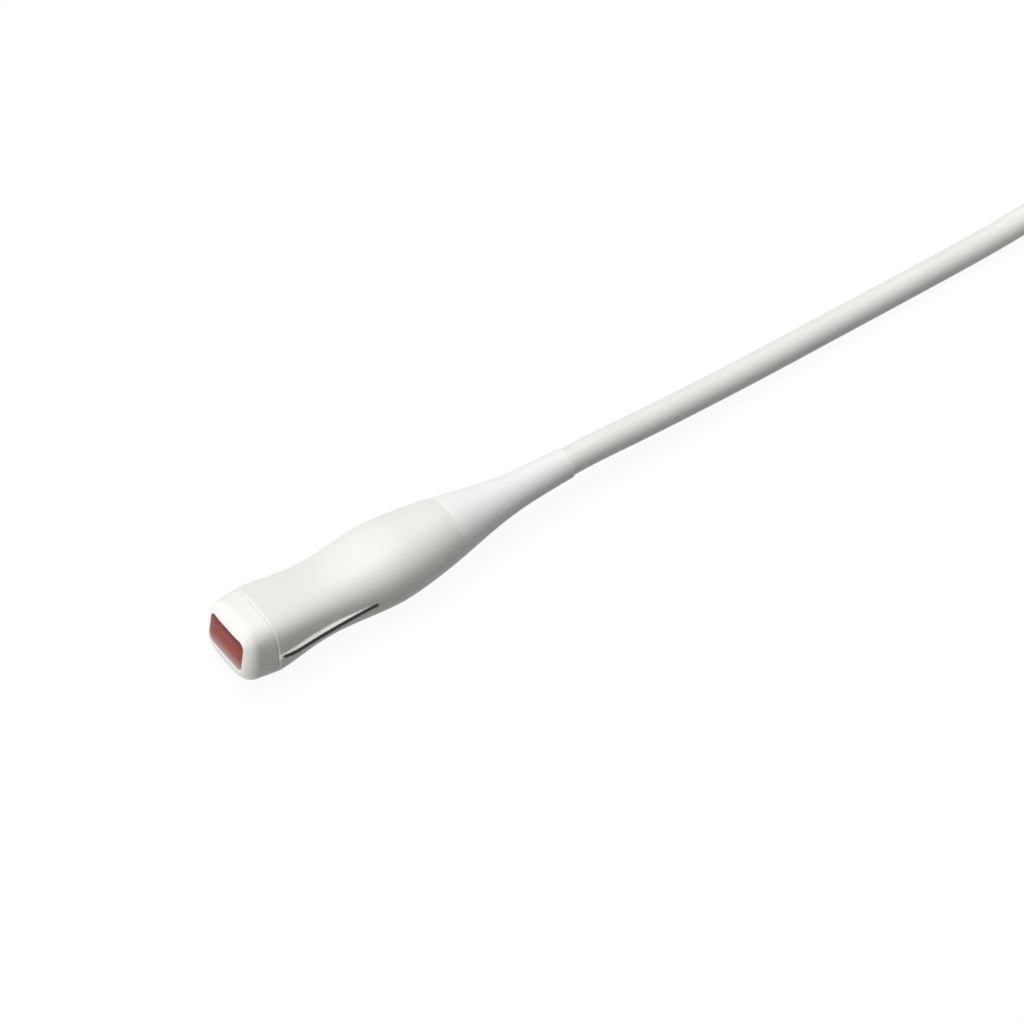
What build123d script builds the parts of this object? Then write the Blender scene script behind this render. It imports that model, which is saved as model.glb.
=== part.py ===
"""Phased-array ultrasound transducer probe, lying on its wide underside.

The probe points its acoustic lens to -X, its cable leaves to +X, and the raised
orientation marker is on the -Y side. Lengths are in millimetres, and places along the
probe are measured from the front of its nose.
"""

from build123d import *
from math import cos, pi, radians, sin, tan
import os

os.makedirs("parts", exist_ok=True)

# Places along the probe
nose_length = 10.9
brow_place = 15.0
neck_place = 21.0
waist_place = 34.8
grip_place = 60.2
hip_place = 72.0
handle_end = 84.8
probe_length = 134.5

# Shares of the boot's length where its form changes
bend_share = 0.245
taper_share = 0.54
slim_share = 0.77

# Half sizes of the outer skin at those places
neck_half_width = 13.2
neck_half_height = 11.0
waist_half_width = 12.82
waist_half_height = 10.03
grip_half_width = 14.6
grip_half_height = 11.97
hip_side_fall = 1.15
hip_top_fall = 0.23
rear_half_width = 11.2
rear_half_height = 10.8
bend_half_width = 8.8
bend_half_height = 8.65
taper_half_width = 6.6
taper_half_height = 6.4
slim_half_width = 5.8
slim_half_height = 5.75
lip_half_width = 5.4

# Gap under the grip when the probe lies on it
rest_gap = 0.03

# How square each oval section is: 0.55 is an ellipse and 1 a rectangle
seam_fullness = 0.82
brow_fullness = 0.80
neck_fullness = 0.78
waist_fullness = 0.69
grip_fullness = 0.64
hip_fullness = 0.62
rear_fullness = 0.60
bend_fullness = 0.58
taper_fullness = 0.56
lip_fullness = 0.5523

# Nose and lens
nose_side_draft = 1.05
nose_top_draft = 1.4
nose_round = 4.6
nose_lean = 6.5
nose_rise = 1.3
nose_shoulder = 6.34
nose_cheek = 4.37
seam_rise = 0.46
brow_rise = 0.43
brow_side_swell = 0.18
brow_top_fall = 0.44
neck_rise = 0.4
seam_step = 0.15
lens_width = 18.2
lens_height = 11.8
lens_corner = 2.6
lens_crown = 0.35
lens_proud = 0.12
lens_rise = 2.6
lens_thickness = 2.3

# Walls, fits and edge breaks
handle_wall = 2.8
mouth_wall = 2.2
mouth_depth = 4.6
rear_mouth_wall = 1.3
spigot_wall = 1.3
fit_gap = 0.1
bond_gap = 0.05
seam_chamfer = 0.35
lip_round = 0.3
seal_size = 0.9
seal_bite = 0.55

# Orientation marker on the narrow side
marker_start = 11.5
marker_end = 50.0
marker_seam_lift = 0.4
marker_brow_lift = 0.9
marker_neck_lift = 1.28
marker_waist_lift = 1.08
marker_land = 1.05
marker_flank = 0.45
marker_fall = 1.4
marker_root = 0.9
strip_half_height = 0.85
strip_depth = 0.6
strip_margin = 1.0
strip_end_flat = 0.05
strip_proud = 0.05

# Acoustic stack
array_rim = 1.0
outer_match_thickness = 0.25
inner_match_thickness = 0.35
piezo_thickness = 0.5
element_count = 48
kerf = 0.06

# Chassis, boards and shield
plate_thickness = 1.8
spine_thickness = 2.0
flange_thickness = 2.0
flange_half_height = 3.4
bulkhead_thickness = 2.5
shield_thickness = 0.3
shield_side_gap = 1.5
shield_top_gap = 1.9
shield_corner = 2.0
shield_front_gap = 8.0
shield_rear_gap = 4.0
board_thickness = 1.0
spacer_height = 1.4
spacer_radius = 1.5
board_screw_radius = 0.6
board_screw_head_radius = 1.1
board_screw_head_height = 0.6
nut_height = 0.8
nut_radius = 1.3
board_margin = 0.5
board_front_gap = 5.0
board_rear_gap = 9.0
screw_inset = 13.0
flex_thickness = 0.2
flex_half_width = 6.6
socket_place_gap = 6.0
socket_length = 5.0
socket_height = 1.1
header_length = 4.0
header_height = 1.1

# Cable and its clamp
cable_diameter = 9.8
core_diameter = 7.0
cable_inset = 1.4
bundle_half_width = 6.0
bundle_half_height = 4.3
bundle_fullness = 0.9
clamp_length = 11.0
clamp_wall = 2.6
clamp_split = 0.3
clamp_screw_radius = 0.6
clamp_head_radius = 1.05
clamp_head_height = 0.9
clamp_seat_height = 2.4
clamp_grip = 2.5
flange_grip = 1.8
boot_clearance = 0.4

# Put-away hank of the cable, with its ties
hank_place = 386.0
hank_run = 147.0
hank_fold = 29.5
hank_side = -26.0
hank_turns = 3
tie_thickness = 1.2
tie_width = 12.0
tie_gap = 0.1
arc_share = 0.45

# Connector at the far end
lead_level = 34.0
lead_drop = 52.0
lead_straight = 22.0
lead_inside = 6.0
connector_side = -6.0
connector_boot_length = 20.0
connector_boot_small = 6.2
connector_boot_large = 8.4
connector_boot_neck = 6.4
connector_boot_flange = 7.8
connector_boot_flange_thickness = 2.0
housing_length = 50.0
housing_width = 40.0
housing_height = 24.0
housing_wall = 2.0
housing_corner = 6.0
housing_edge = 3.0
housing_parting = 0.4
shell_width = 26.0
shell_height = 12.0
shell_reach = 7.0
shell_seat = 8.0
shell_wall = 0.8
shell_corner = 1.5
shell_flange = 2.0
shell_flange_thickness = 1.2
insert_recess = 1.5
insert_length = 10.0
pin_columns = 18
pin_rows = 3
pin_pitch = 1.3
pin_row_pitch = 2.6
pin_size = 0.5
pin_proud = 1.0
connector_board_length = 26.0
connector_board_width = 22.0
connector_board_thickness = 1.2
fan_half_width = 8.0
fan_half_height = 1.6
boss_radius = 2.6
boss_side_inset = 6.0
boss_front_gap = 16.0
boss_rear_gap = 8.0
housing_screw_radius = 1.2
housing_screw_head = 2.1
housing_screw_head_height = 1.6
housing_screw_sink = 0.4
housing_screw_bite = 6.0

# Values worked out from the sizes above
seam_half_width = lens_width / 2 + nose_cheek
seam_half_height = lens_height / 2 + nose_shoulder
brow_half_width = seam_half_width + brow_side_swell
brow_half_height = seam_half_height - brow_top_fall
hip_half_width = grip_half_width - hip_side_fall
hip_half_height = grip_half_height - hip_top_fall
boot_length = probe_length - handle_end
bend_place = handle_end + bend_share * boot_length
taper_place = handle_end + taper_share * boot_length
slim_place = handle_end + slim_share * boot_length
front_half_width = seam_half_width - nose_side_draft
front_half_height = seam_half_height - nose_top_draft
lean = radians(nose_lean)
chin_reach = (front_half_height - nose_round) * sin(lean) + nose_round * (1 - cos(lean))
axis_height = grip_half_height + rest_gap
front_x = -(probe_length - chin_reach) / 2
cable_radius = cable_diameter / 2
connector_axis = housing_height / 2


def at(place, rise=0.0, side=0.0):
    """A plane across the probe at a place along it, its own x to +Y and its own y up."""
    centre = (front_x + place, side, axis_height + rise)
    return Plane(origin=centre, x_dir=(0, 1, 0), z_dir=(1, 0, 0))


def oval(half_width, half_height, fullness):
    """A closed section of four like curves."""
    with BuildSketch() as face:
        with BuildLine():
            Bezier(
                (half_width, 0),
                (half_width, fullness * half_height),
                (fullness * half_width, half_height),
                (0, half_height),
            )
            mirror(about=Plane.YZ)
            mirror(about=Plane.XZ)
        make_face()
    return face.sketch


def oval_bar(place, length, half_width, half_height, fullness, rise=0.0):
    """A straight bar of oval section that starts at a place and runs towards the cable."""
    with BuildPart() as bar:
        with BuildSketch(at(place, rise)):
            add(oval(half_width, half_height, fullness))
        extrude(amount=length)
    return bar.part


def skin(inset):
    """The handle and boot form in one piece, smaller all round by the inset."""
    stations = [
        (nose_length, seam_half_width, seam_half_height, seam_fullness, seam_rise),
        (brow_place, brow_half_width, brow_half_height, brow_fullness, brow_rise),
        (neck_place, neck_half_width, neck_half_height, neck_fullness, neck_rise),
        (waist_place, waist_half_width, waist_half_height, waist_fullness, 0),
        (grip_place, grip_half_width, grip_half_height, grip_fullness, 0),
        (hip_place, hip_half_width, hip_half_height, hip_fullness, 0),
        (handle_end, rear_half_width, rear_half_height, rear_fullness, 0),
        (bend_place, bend_half_width, bend_half_height, bend_fullness, 0),
        (taper_place, taper_half_width, taper_half_height, taper_fullness, 0),
        (slim_place, slim_half_width, slim_half_height, lip_fullness, 0),
        (probe_length, lip_half_width, lip_half_width, lip_fullness, 0),
    ]
    with BuildPart() as body:
        for place, half_width, half_height, fullness, rise in stations:
            with BuildSketch(at(place, rise)):
                add(oval(half_width - inset, half_height - inset, fullness))
        loft()
    return body.part


def rounded_block(place, length, width, height, corner, rise=0.0, side=0.0):
    """A bar of rounded rectangular section, along the probe."""
    with BuildPart() as block:
        with BuildSketch(at(place, rise, side)):
            RectangleRounded(width, height, corner)
        extrude(amount=length)
    return block.part


def rod(place, length, radius, rise=0.0, side=0.0):
    """A round bar along the probe."""
    with BuildPart() as bar:
        with BuildSketch(at(place, rise, side)):
            Circle(radius)
        extrude(amount=length)
    return bar.part


def post(place, side, low, high, radius):
    """An upright round bar between two heights above the floor."""
    with BuildPart() as bar:
        with BuildSketch(Plane((front_x + place, side, low))):
            Circle(radius)
        extrude(amount=high - low)
    return bar.part


outer_skin = skin(0)
inner_skin = skin(handle_wall)

# Mouth at the front of the handle, and the nose spigot that fits it
mouth_half_width = seam_half_width - mouth_wall
mouth_half_height = seam_half_height - mouth_wall
spigot_half_width = mouth_half_width - fit_gap
spigot_half_height = mouth_half_height - fit_gap
spigot_length = mouth_depth - fit_gap
throat_half_width = spigot_half_width - spigot_wall
throat_half_height = spigot_half_height - spigot_wall
nose_seal_place = nose_length + (mouth_depth - seal_size) / 2

# Mouth at the rear of the handle, where the bulkhead and the boot's spigot sit
rear_spigot_length = clamp_grip + seal_size
rear_mouth_depth = bulkhead_thickness + rear_spigot_length
rear_mouth_half_width = rear_half_width - rear_mouth_wall
rear_mouth_half_height = rear_half_height - rear_mouth_wall
bulkhead_place = handle_end - rear_mouth_depth
rear_seal_place = handle_end - (rear_spigot_length + seal_size) / 2
clamp_place = bulkhead_place + bulkhead_thickness
clamp_radius = cable_radius + clamp_wall
clamp_end = clamp_place + clamp_length

# Acoustic lens: a crowned silicone pad
lens_back = lens_thickness - lens_proud


def lens_front(rise, sink):
    """A point of the lens's profile at a height, sunk behind the leaning front of the nose."""
    return (front_x + (rise - nose_rise) * tan(lean) + sink, axis_height + rise)


with BuildPart() as acoustic_lens:
    add(
        rounded_block(
            -lens_thickness, lens_thickness + lens_back, lens_width, lens_height,
            lens_corner, lens_rise,
        )
    )
    with BuildSketch(Plane.XZ.offset(-lens_width)):
        with BuildLine():
            low_end = lens_front(lens_rise - lens_height / 2, lens_crown - lens_proud)
            high_end = lens_front(lens_rise + lens_height / 2, lens_crown - lens_proud)
            ThreePointArc(low_end, lens_front(lens_rise, -lens_proud), high_end)
            back = front_x + lens_back
            Polyline(high_end, (back, high_end[1]), (back, low_end[1]), low_end)
        make_face()
    extrude(amount=2 * lens_width, mode=Mode.INTERSECT)
acoustic_lens.part.label = "acoustic_lens"
export_step(acoustic_lens.part, "parts/acoustic_lens.step")

# Nose cap: blunt and rounded, its front leaning back, open for the lens and the array
front_face = Plane(
    origin=(front_x, 0, axis_height + nose_rise), x_dir=(0, 1, 0), z_dir=(cos(lean), 0, -sin(lean))
)
with BuildPart() as nose_cap:
    with BuildSketch(at(nose_length, seam_rise)):
        add(oval(seam_half_width - seam_step, seam_half_height - seam_step, seam_fullness))
    with BuildSketch(front_face):
        add(oval(front_half_width, front_half_height, seam_fullness))
    loft(ruled=True)
    fillet(nose_cap.faces().sort_by(Axis.X)[0].edges(), nose_round)
    add(
        oval_bar(
            nose_length, spigot_length, spigot_half_width, spigot_half_height,
            seam_fullness, seam_rise,
        )
    )
    add(
        oval_bar(
            nose_length, spigot_length, throat_half_width, throat_half_height,
            seam_fullness, seam_rise,
        ),
        mode=Mode.SUBTRACT,
    )
    window_width = lens_width + 2 * bond_gap
    window_height = lens_height + 2 * bond_gap
    add(
        rounded_block(
            -nose_length, 2 * nose_length, window_width, window_height,
            lens_corner + bond_gap, lens_rise,
        ),
        mode=Mode.SUBTRACT,
    )
    with BuildSketch(at(nose_seal_place, seam_rise)):
        add(oval(spigot_half_width, spigot_half_height, seam_fullness))
        seal_seat = oval(spigot_half_width - seal_bite, spigot_half_height - seal_bite, seam_fullness)
        add(seal_seat, mode=Mode.SUBTRACT)
    extrude(amount=seal_size, mode=Mode.SUBTRACT)
nose_cap.part.label = "nose_cap"
export_step(nose_cap.part, "parts/nose_cap.step")

# Nose seal: a ring in the spigot's groove
with BuildPart() as nose_seal:
    with BuildSketch(at(nose_seal_place, seam_rise)):
        add(oval(mouth_half_width, mouth_half_height, seam_fullness))
        add(seal_seat, mode=Mode.SUBTRACT)
    extrude(amount=seal_size)
nose_seal.part.label = "nose_seal"
export_step(nose_seal.part, "parts/nose_seal.step")

# Plan of the marker rib: its crest follows the side of the handle and fills its waist
marker_waist = waist_half_width + marker_waist_lift
rib_root = -(waist_half_width - marker_root)


def rib_plan(shrink, sink):
    """A face under the rib's crest line, shortened at both ends and sunk by a depth."""
    first = (front_x + marker_start + shrink, sink - seam_half_width - marker_seam_lift)
    last = (front_x + marker_end - shrink, sink - marker_waist)
    with BuildSketch() as plan:
        with BuildLine():
            Spline(
                first,
                (front_x + brow_place, sink - brow_half_width - marker_brow_lift),
                (front_x + neck_place, sink - neck_half_width - marker_neck_lift),
                (front_x + waist_place, sink - marker_waist),
                last,
            )
            Polyline(last, (last[0], rib_root), (first[0], rib_root), first)
        make_face()
    return plan.sketch


def strip_band(proud):
    """The inlay's band along the rib's crest, with round ends, standing proud of the crest."""
    with BuildPart() as band:
        with BuildSketch(Plane.XY.offset(axis_height)):
            add(rib_plan(strip_margin, -proud))
            add(rib_plan(strip_margin, strip_depth), mode=Mode.SUBTRACT)
        extrude(amount=strip_half_height, both=True)
        fillet(band.edges().filter_by(Axis.Y), strip_half_height - strip_end_flat)
    return band.part


# Handle sleeve: one moulding with the marker rib on its narrow side
with BuildPart() as handle_sleeve:
    add(outer_skin)
    split(bisect_by=at(handle_end), keep=Keep.BOTTOM)
    chamfer(handle_sleeve.faces().sort_by(Axis.X)[0].edges(), seam_chamfer)
    chamfer(handle_sleeve.faces().sort_by(Axis.X)[-1].edges(), seam_chamfer)
    with BuildSketch(Plane.XY.offset(axis_height)):
        add(rib_plan(0, 0))
    extrude(amount=marker_land, both=True)
    for side in (-1, 1):
        with BuildSketch(Plane.XY.offset(axis_height + side * marker_land)):
            add(rib_plan(0, 0))
        with BuildSketch(Plane.XY.offset(axis_height + side * (marker_land + marker_flank))):
            add(rib_plan(marker_fall, marker_fall))
        loft(ruled=True)
    add(inner_skin, mode=Mode.SUBTRACT)
    add(
        oval_bar(
            nose_length, mouth_depth, mouth_half_width, mouth_half_height,
            seam_fullness, seam_rise,
        ),
        mode=Mode.SUBTRACT,
    )
    add(
        oval_bar(
            bulkhead_place, rear_mouth_depth, rear_mouth_half_width,
            rear_mouth_half_height, rear_fullness,
        ),
        mode=Mode.SUBTRACT,
    )
    add(strip_band(strip_depth), mode=Mode.SUBTRACT)
handle_sleeve.part.label = "handle_sleeve"
export_step(handle_sleeve.part, "parts/handle_sleeve.step")

# Marker strip: the dark inlay along the rib's crest
with BuildPart() as marker_strip:
    add(strip_band(strip_proud))
marker_strip.part.label = "marker_strip"
export_step(marker_strip.part, "parts/marker_strip.step")

# Strain-relief boot: tapers onto the cable, with a spigot in the handle's rear mouth
rear_spigot_half_width = rear_mouth_half_width - fit_gap
rear_spigot_half_height = rear_mouth_half_height - fit_gap
rear_seal_half_width = rear_spigot_half_width - seal_bite
rear_seal_half_height = rear_spigot_half_height - seal_bite
with BuildPart() as strain_relief_boot:
    add(outer_skin)
    split(bisect_by=at(handle_end), keep=Keep.TOP)
    chamfer(strain_relief_boot.faces().sort_by(Axis.X)[0].edges(), seam_chamfer)
    fillet(strain_relief_boot.faces().sort_by(Axis.X)[-1].edges(), lip_round)
    add(
        oval_bar(
            clamp_place, rear_spigot_length, rear_spigot_half_width,
            rear_spigot_half_height, rear_fullness,
        )
    )
    with BuildSketch(at(rear_seal_place)):
        add(oval(rear_spigot_half_width, rear_spigot_half_height, rear_fullness))
        rear_seat = oval(rear_seal_half_width, rear_seal_half_height, rear_fullness)
        add(rear_seat, mode=Mode.SUBTRACT)
    extrude(amount=seal_size, mode=Mode.SUBTRACT)
    add(
        rod(clamp_place, clamp_length + boot_clearance, clamp_radius + boot_clearance),
        mode=Mode.SUBTRACT,
    )
    add(rod(clamp_end, probe_length, cable_radius), mode=Mode.SUBTRACT)
strain_relief_boot.part.label = "strain_relief_boot"
export_step(strain_relief_boot.part, "parts/strain_relief_boot.step")

# Rear seal: a ring in the boot spigot's groove
with BuildPart() as rear_seal:
    with BuildSketch(at(rear_seal_place)):
        add(oval(rear_mouth_half_width, rear_mouth_half_height, rear_fullness))
        add(rear_seat, mode=Mode.SUBTRACT)
    extrude(amount=seal_size)
rear_seal.part.label = "rear_seal"
export_step(rear_seal.part, "parts/rear_seal.step")

# Acoustic stack behind the lens: two matching layers, diced elements and their backing
array_width = lens_width - 2 * array_rim
array_height = lens_height - 2 * array_rim
inner_match_place = lens_back + outer_match_thickness
piezo_place = inner_match_place + inner_match_thickness
backing_place = piezo_place + piezo_thickness
plate_place = nose_length
backing_length = plate_place - backing_place


def layer(place, thickness):
    """A thin slab as wide and high as the array."""
    with BuildPart() as slab:
        with BuildSketch(at(place, lens_rise)):
            Rectangle(array_width, array_height)
        extrude(amount=thickness)
    return slab.part


with BuildPart() as outer_matching_layer:
    add(layer(lens_back, outer_match_thickness))
outer_matching_layer.part.label = "outer_matching_layer"
export_step(outer_matching_layer.part, "parts/outer_matching_layer.step")

with BuildPart() as inner_matching_layer:
    add(layer(inner_match_place, inner_match_thickness))
inner_matching_layer.part.label = "inner_matching_layer"
export_step(inner_matching_layer.part, "parts/inner_matching_layer.step")

element_pitch = array_width / element_count
with BuildPart() as piezo_array:
    with BuildSketch(at(piezo_place, lens_rise)):
        with GridLocations(element_pitch, 0, element_count, 1):
            Rectangle(element_pitch - kerf, array_height)
    extrude(amount=piezo_thickness)
piezo_array.part.label = "piezo_array"
export_step(piezo_array.part, "parts/piezo_array.step")

with BuildPart() as backing_block:
    add(layer(backing_place, backing_length))
backing_block.part.label = "backing_block"
export_step(backing_block.part, "parts/backing_block.step")

# Chassis: a ring round the array, a plate in the nose's throat, a spine and a rear flange
shield_half_width = waist_half_width - handle_wall - shield_side_gap
shield_half_height = waist_half_height - handle_wall - shield_top_gap
spine_half_width = shield_half_width - shield_thickness
spine_place = plate_place + plate_thickness
flange_place = bulkhead_place - flange_thickness
plate_half_width = throat_half_width - fit_gap
plate_half_height = throat_half_height - fit_gap
board_place = spine_place + board_front_gap
board_end = flange_place - board_rear_gap
board_length = board_end - board_place
board_half_width = spine_half_width - board_margin
board_low = spine_thickness / 2 + spacer_height
board_top = board_low + board_thickness
screw_span = board_length - 2 * screw_inset
screw_spread = 2 * (board_half_width - spacer_radius)
screw_centre = front_x + (board_place + board_end) / 2
core_radius = core_diameter / 2
flange_screw_side = (core_radius + spine_half_width) / 2
notch_half_width = flange_screw_side + clamp_head_radius + fit_gap
with BuildPart() as array_frame:
    with BuildSketch(at(lens_back, lens_rise)):
        RectangleRounded(lens_width, lens_height, lens_corner)
        Rectangle(array_width, array_height, mode=Mode.SUBTRACT)
        with GridLocations(0, array_height, 1, 2):
            Rectangle(2 * flex_half_width, 2 * flex_thickness, mode=Mode.SUBTRACT)
    extrude(amount=plate_place - lens_back)
    with BuildSketch(at(plate_place, seam_rise)):
        add(oval(plate_half_width, plate_half_height, seam_fullness))
    extrude(amount=plate_thickness)
    with BuildSketch(at(plate_place, lens_rise)):
        with GridLocations(0, array_height, 1, 2):
            Rectangle(2 * flex_half_width, 2 * flex_thickness)
    extrude(amount=plate_thickness, mode=Mode.SUBTRACT)
    with BuildSketch(at(spine_place)):
        Rectangle(2 * spine_half_width, spine_thickness)
    extrude(amount=flange_place - spine_place)
    with BuildSketch(at(flange_place)):
        Rectangle(2 * spine_half_width, 2 * flange_half_height)
    extrude(amount=flange_thickness)
    with BuildSketch(at(board_end)):
        Rectangle(2 * notch_half_width, 2 * spine_thickness)
    extrude(amount=flange_place - board_end, mode=Mode.SUBTRACT)
    add(rod(flange_place, flange_thickness, core_radius + fit_gap), mode=Mode.SUBTRACT)
    with Locations(Plane.XY.offset(axis_height)):
        with Locations((screw_centre, 0)):
            with GridLocations(screw_span, screw_spread, 2, 2):
                Cylinder(board_screw_radius, 2 * spine_thickness, mode=Mode.SUBTRACT)
    for side in (-flange_screw_side, flange_screw_side):
        add(rod(flange_place, flange_thickness, clamp_screw_radius, 0, side), mode=Mode.SUBTRACT)
array_frame.part.label = "array_frame"
export_step(array_frame.part, "parts/array_frame.step")


def board(low):
    """A circuit board with its four screw holes."""
    with BuildPart() as sheet:
        with BuildSketch(Plane((screw_centre, 0, axis_height + low))):
            Rectangle(board_length, 2 * board_half_width)
            with GridLocations(screw_span, screw_spread, 2, 2):
                Circle(board_screw_radius, mode=Mode.SUBTRACT)
        extrude(amount=board_thickness)
    return sheet.part


with BuildPart() as upper_board:
    add(board(board_low))
upper_board.part.label = "upper_board"
export_step(upper_board.part, "parts/upper_board.step")

with BuildPart() as lower_board:
    add(board(-board_top))
lower_board.part.label = "lower_board"
export_step(lower_board.part, "parts/lower_board.step")

# Spacers, screws and nuts that hold the two boards to the spine
with BuildPart() as board_spacers:
    for low in (spine_thickness / 2, -board_low):
        with BuildSketch(Plane((screw_centre, 0, axis_height + low))):
            with GridLocations(screw_span, screw_spread, 2, 2):
                Circle(spacer_radius)
                Circle(board_screw_radius, mode=Mode.SUBTRACT)
        extrude(amount=spacer_height)
board_spacers.part.label = "board_spacers"
export_step(board_spacers.part, "parts/board_spacers.step")

with BuildPart() as board_screws:
    with BuildSketch(Plane((screw_centre, 0, axis_height - board_top - nut_height))):
        with GridLocations(screw_span, screw_spread, 2, 2):
            Circle(board_screw_radius)
    extrude(amount=2 * board_top + nut_height)
    with BuildSketch(Plane((screw_centre, 0, axis_height + board_top))):
        with GridLocations(screw_span, screw_spread, 2, 2):
            Circle(board_screw_head_radius)
    extrude(amount=board_screw_head_height)
board_screws.part.label = "board_screws"
export_step(board_screws.part, "parts/board_screws.step")

with BuildPart() as board_nuts:
    with BuildSketch(Plane((screw_centre, 0, axis_height - board_top - nut_height))):
        with GridLocations(screw_span, screw_spread, 2, 2):
            RegularPolygon(nut_radius, 6)
            Circle(board_screw_radius, mode=Mode.SUBTRACT)
    extrude(amount=nut_height)
board_nuts.part.label = "board_nuts"
export_step(board_nuts.part, "parts/board_nuts.step")

# Sockets for the flexible circuits, and headers for the coaxial leads
socket_place = board_place + socket_place_gap
header_place = board_end - header_length
with BuildPart() as flex_sockets:
    for low in (board_top, -board_top - socket_height):
        with BuildSketch(at(socket_place, low + socket_height / 2)):
            Rectangle(2 * flex_half_width, socket_height)
        extrude(amount=socket_length)
flex_sockets.part.label = "flex_sockets"
export_step(flex_sockets.part, "parts/flex_sockets.step")

with BuildPart() as coax_headers:
    for low in (board_top, -board_top - header_height):
        with BuildSketch(at(header_place, low + header_height / 2)):
            Rectangle(2 * bundle_half_width, header_height)
        extrude(amount=header_length)
coax_headers.part.label = "coax_headers"
export_step(coax_headers.part, "parts/coax_headers.step")


def flex(array_side, socket_side):
    """A thin band from the array's edge, through the plate, to the front of its socket."""
    start = front_x + piezo_place
    bend = front_x + spine_place
    level = front_x + board_place
    end = front_x + socket_place
    with BuildPart() as band:
        with BuildSketch(Plane.XZ):
            with BuildLine():
                Polyline(
                    (start, axis_height + array_side),
                    (bend, axis_height + array_side),
                    (level, axis_height + socket_side),
                    (end, axis_height + socket_side),
                    (end, axis_height + socket_side + flex_thickness),
                    (level, axis_height + socket_side + flex_thickness),
                    (bend, axis_height + array_side + flex_thickness),
                    (start, axis_height + array_side + flex_thickness),
                    close=True,
                )
            make_face()
        extrude(amount=flex_half_width, both=True)
    return band.part


socket_middle = board_top + socket_height / 2
with BuildPart() as upper_flex:
    add(flex(lens_rise + array_height / 2, socket_middle))
upper_flex.part.label = "upper_flex"
export_step(upper_flex.part, "parts/upper_flex.step")

with BuildPart() as lower_flex:
    add(flex(lens_rise - array_height / 2 - flex_thickness, -socket_middle))
lower_flex.part.label = "lower_flex"
export_step(lower_flex.part, "parts/lower_flex.step")

# Metal shield sleeve round the boards, held on the spine's edges
shield_place = spine_place + shield_front_gap
shield_length = flange_place - shield_rear_gap - shield_place
with BuildPart() as emi_shield:
    with BuildSketch(at(shield_place)):
        RectangleRounded(2 * shield_half_width, 2 * shield_half_height, shield_corner)
        RectangleRounded(
            2 * spine_half_width,
            2 * (shield_half_height - shield_thickness),
            shield_corner - shield_thickness,
            mode=Mode.SUBTRACT,
        )
    extrude(amount=shield_length)
emi_shield.part.label = "emi_shield"
export_step(emi_shield.part, "parts/emi_shield.step")

# Coaxial leads gathered from the boards into the cable's core
cable_start = clamp_place + cable_inset
with BuildPart() as coax_bundle:
    with BuildSketch(at(board_end)):
        add(oval(bundle_half_width, bundle_half_height, bundle_fullness))
    with BuildSketch(at(flange_place)):
        add(oval(core_radius, core_radius, lip_fullness))
    loft()
    with BuildSketch(at(flange_place)):
        add(oval(core_radius, core_radius, lip_fullness))
    extrude(amount=cable_start - flange_place)
coax_bundle.part.label = "coax_bundle"
export_step(coax_bundle.part, "parts/coax_bundle.step")

# Rear bulkhead with the lower half of the cable clamp
clamp_screw_side = cable_radius + clamp_wall / 2
clamp_screw_place = clamp_place + clamp_length / 2
clamp_foot = axis_height - clamp_seat_height
clamp_seat = axis_height + clamp_seat_height


def half_clamp(direction):
    """One half of the ring that grips the cable, below (-1) or above (1) its middle."""
    with BuildPart() as ring:
        with BuildSketch(at(clamp_place)):
            Circle(clamp_radius)
            Circle(cable_radius, mode=Mode.SUBTRACT)
            with Locations((0, -direction * (clamp_radius - clamp_split / 2))):
                Rectangle(2 * clamp_radius, 2 * clamp_radius, mode=Mode.SUBTRACT)
        extrude(amount=clamp_length)
    return ring.part


with BuildPart() as rear_bulkhead:
    add(
        oval_bar(
            bulkhead_place, bulkhead_thickness, rear_spigot_half_width,
            rear_spigot_half_height, rear_fullness,
        )
    )
    add(rod(bulkhead_place, bulkhead_thickness, core_radius + fit_gap), mode=Mode.SUBTRACT)
    add(half_clamp(-1))
    for side in (-1, 1):
        hole = post(clamp_screw_place, side * clamp_screw_side, clamp_foot, axis_height, clamp_screw_radius)
        add(hole, mode=Mode.SUBTRACT)
        add(
            rod(bulkhead_place, flange_grip, clamp_screw_radius, 0, side * flange_screw_side),
            mode=Mode.SUBTRACT,
        )
rear_bulkhead.part.label = "rear_bulkhead"
export_step(rear_bulkhead.part, "parts/rear_bulkhead.step")

with BuildPart() as cable_clamp:
    add(half_clamp(1))
    for side in (-1, 1):
        hole = post(clamp_screw_place, side * clamp_screw_side, axis_height, clamp_seat, clamp_screw_radius)
        add(hole, mode=Mode.SUBTRACT)
        seat = post(
            clamp_screw_place, side * clamp_screw_side, clamp_seat,
            axis_height + clamp_radius, clamp_head_radius + fit_gap,
        )
        add(seat, mode=Mode.SUBTRACT)
cable_clamp.part.label = "cable_clamp"
export_step(cable_clamp.part, "parts/cable_clamp.step")

with BuildPart() as clamp_screws:
    for side in (-clamp_screw_side, clamp_screw_side):
        add(post(clamp_screw_place, side, clamp_foot, clamp_seat, clamp_screw_radius))
        add(post(clamp_screw_place, side, clamp_seat, clamp_seat + clamp_head_height, clamp_head_radius))
clamp_screws.part.label = "clamp_screws"
export_step(clamp_screws.part, "parts/clamp_screws.step")

with BuildPart() as flange_screws:
    for side in (-flange_screw_side, flange_screw_side):
        add(rod(flange_place, flange_thickness + flange_grip, clamp_screw_radius, 0, side))
        add(rod(flange_place - clamp_head_height, clamp_head_height, clamp_head_radius, 0, side))
flange_screws.part.label = "flange_screws"
export_step(flange_screws.part, "parts/flange_screws.step")

# End of the cable: straight from the clamp, through the boot, to its lip
with BuildPart() as cable_end:
    add(rod(cable_start, probe_length - cable_start, cable_radius))
cable_end.part.label = "cable_end"
export_step(cable_end.part, "parts/cable_end.step")

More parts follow.
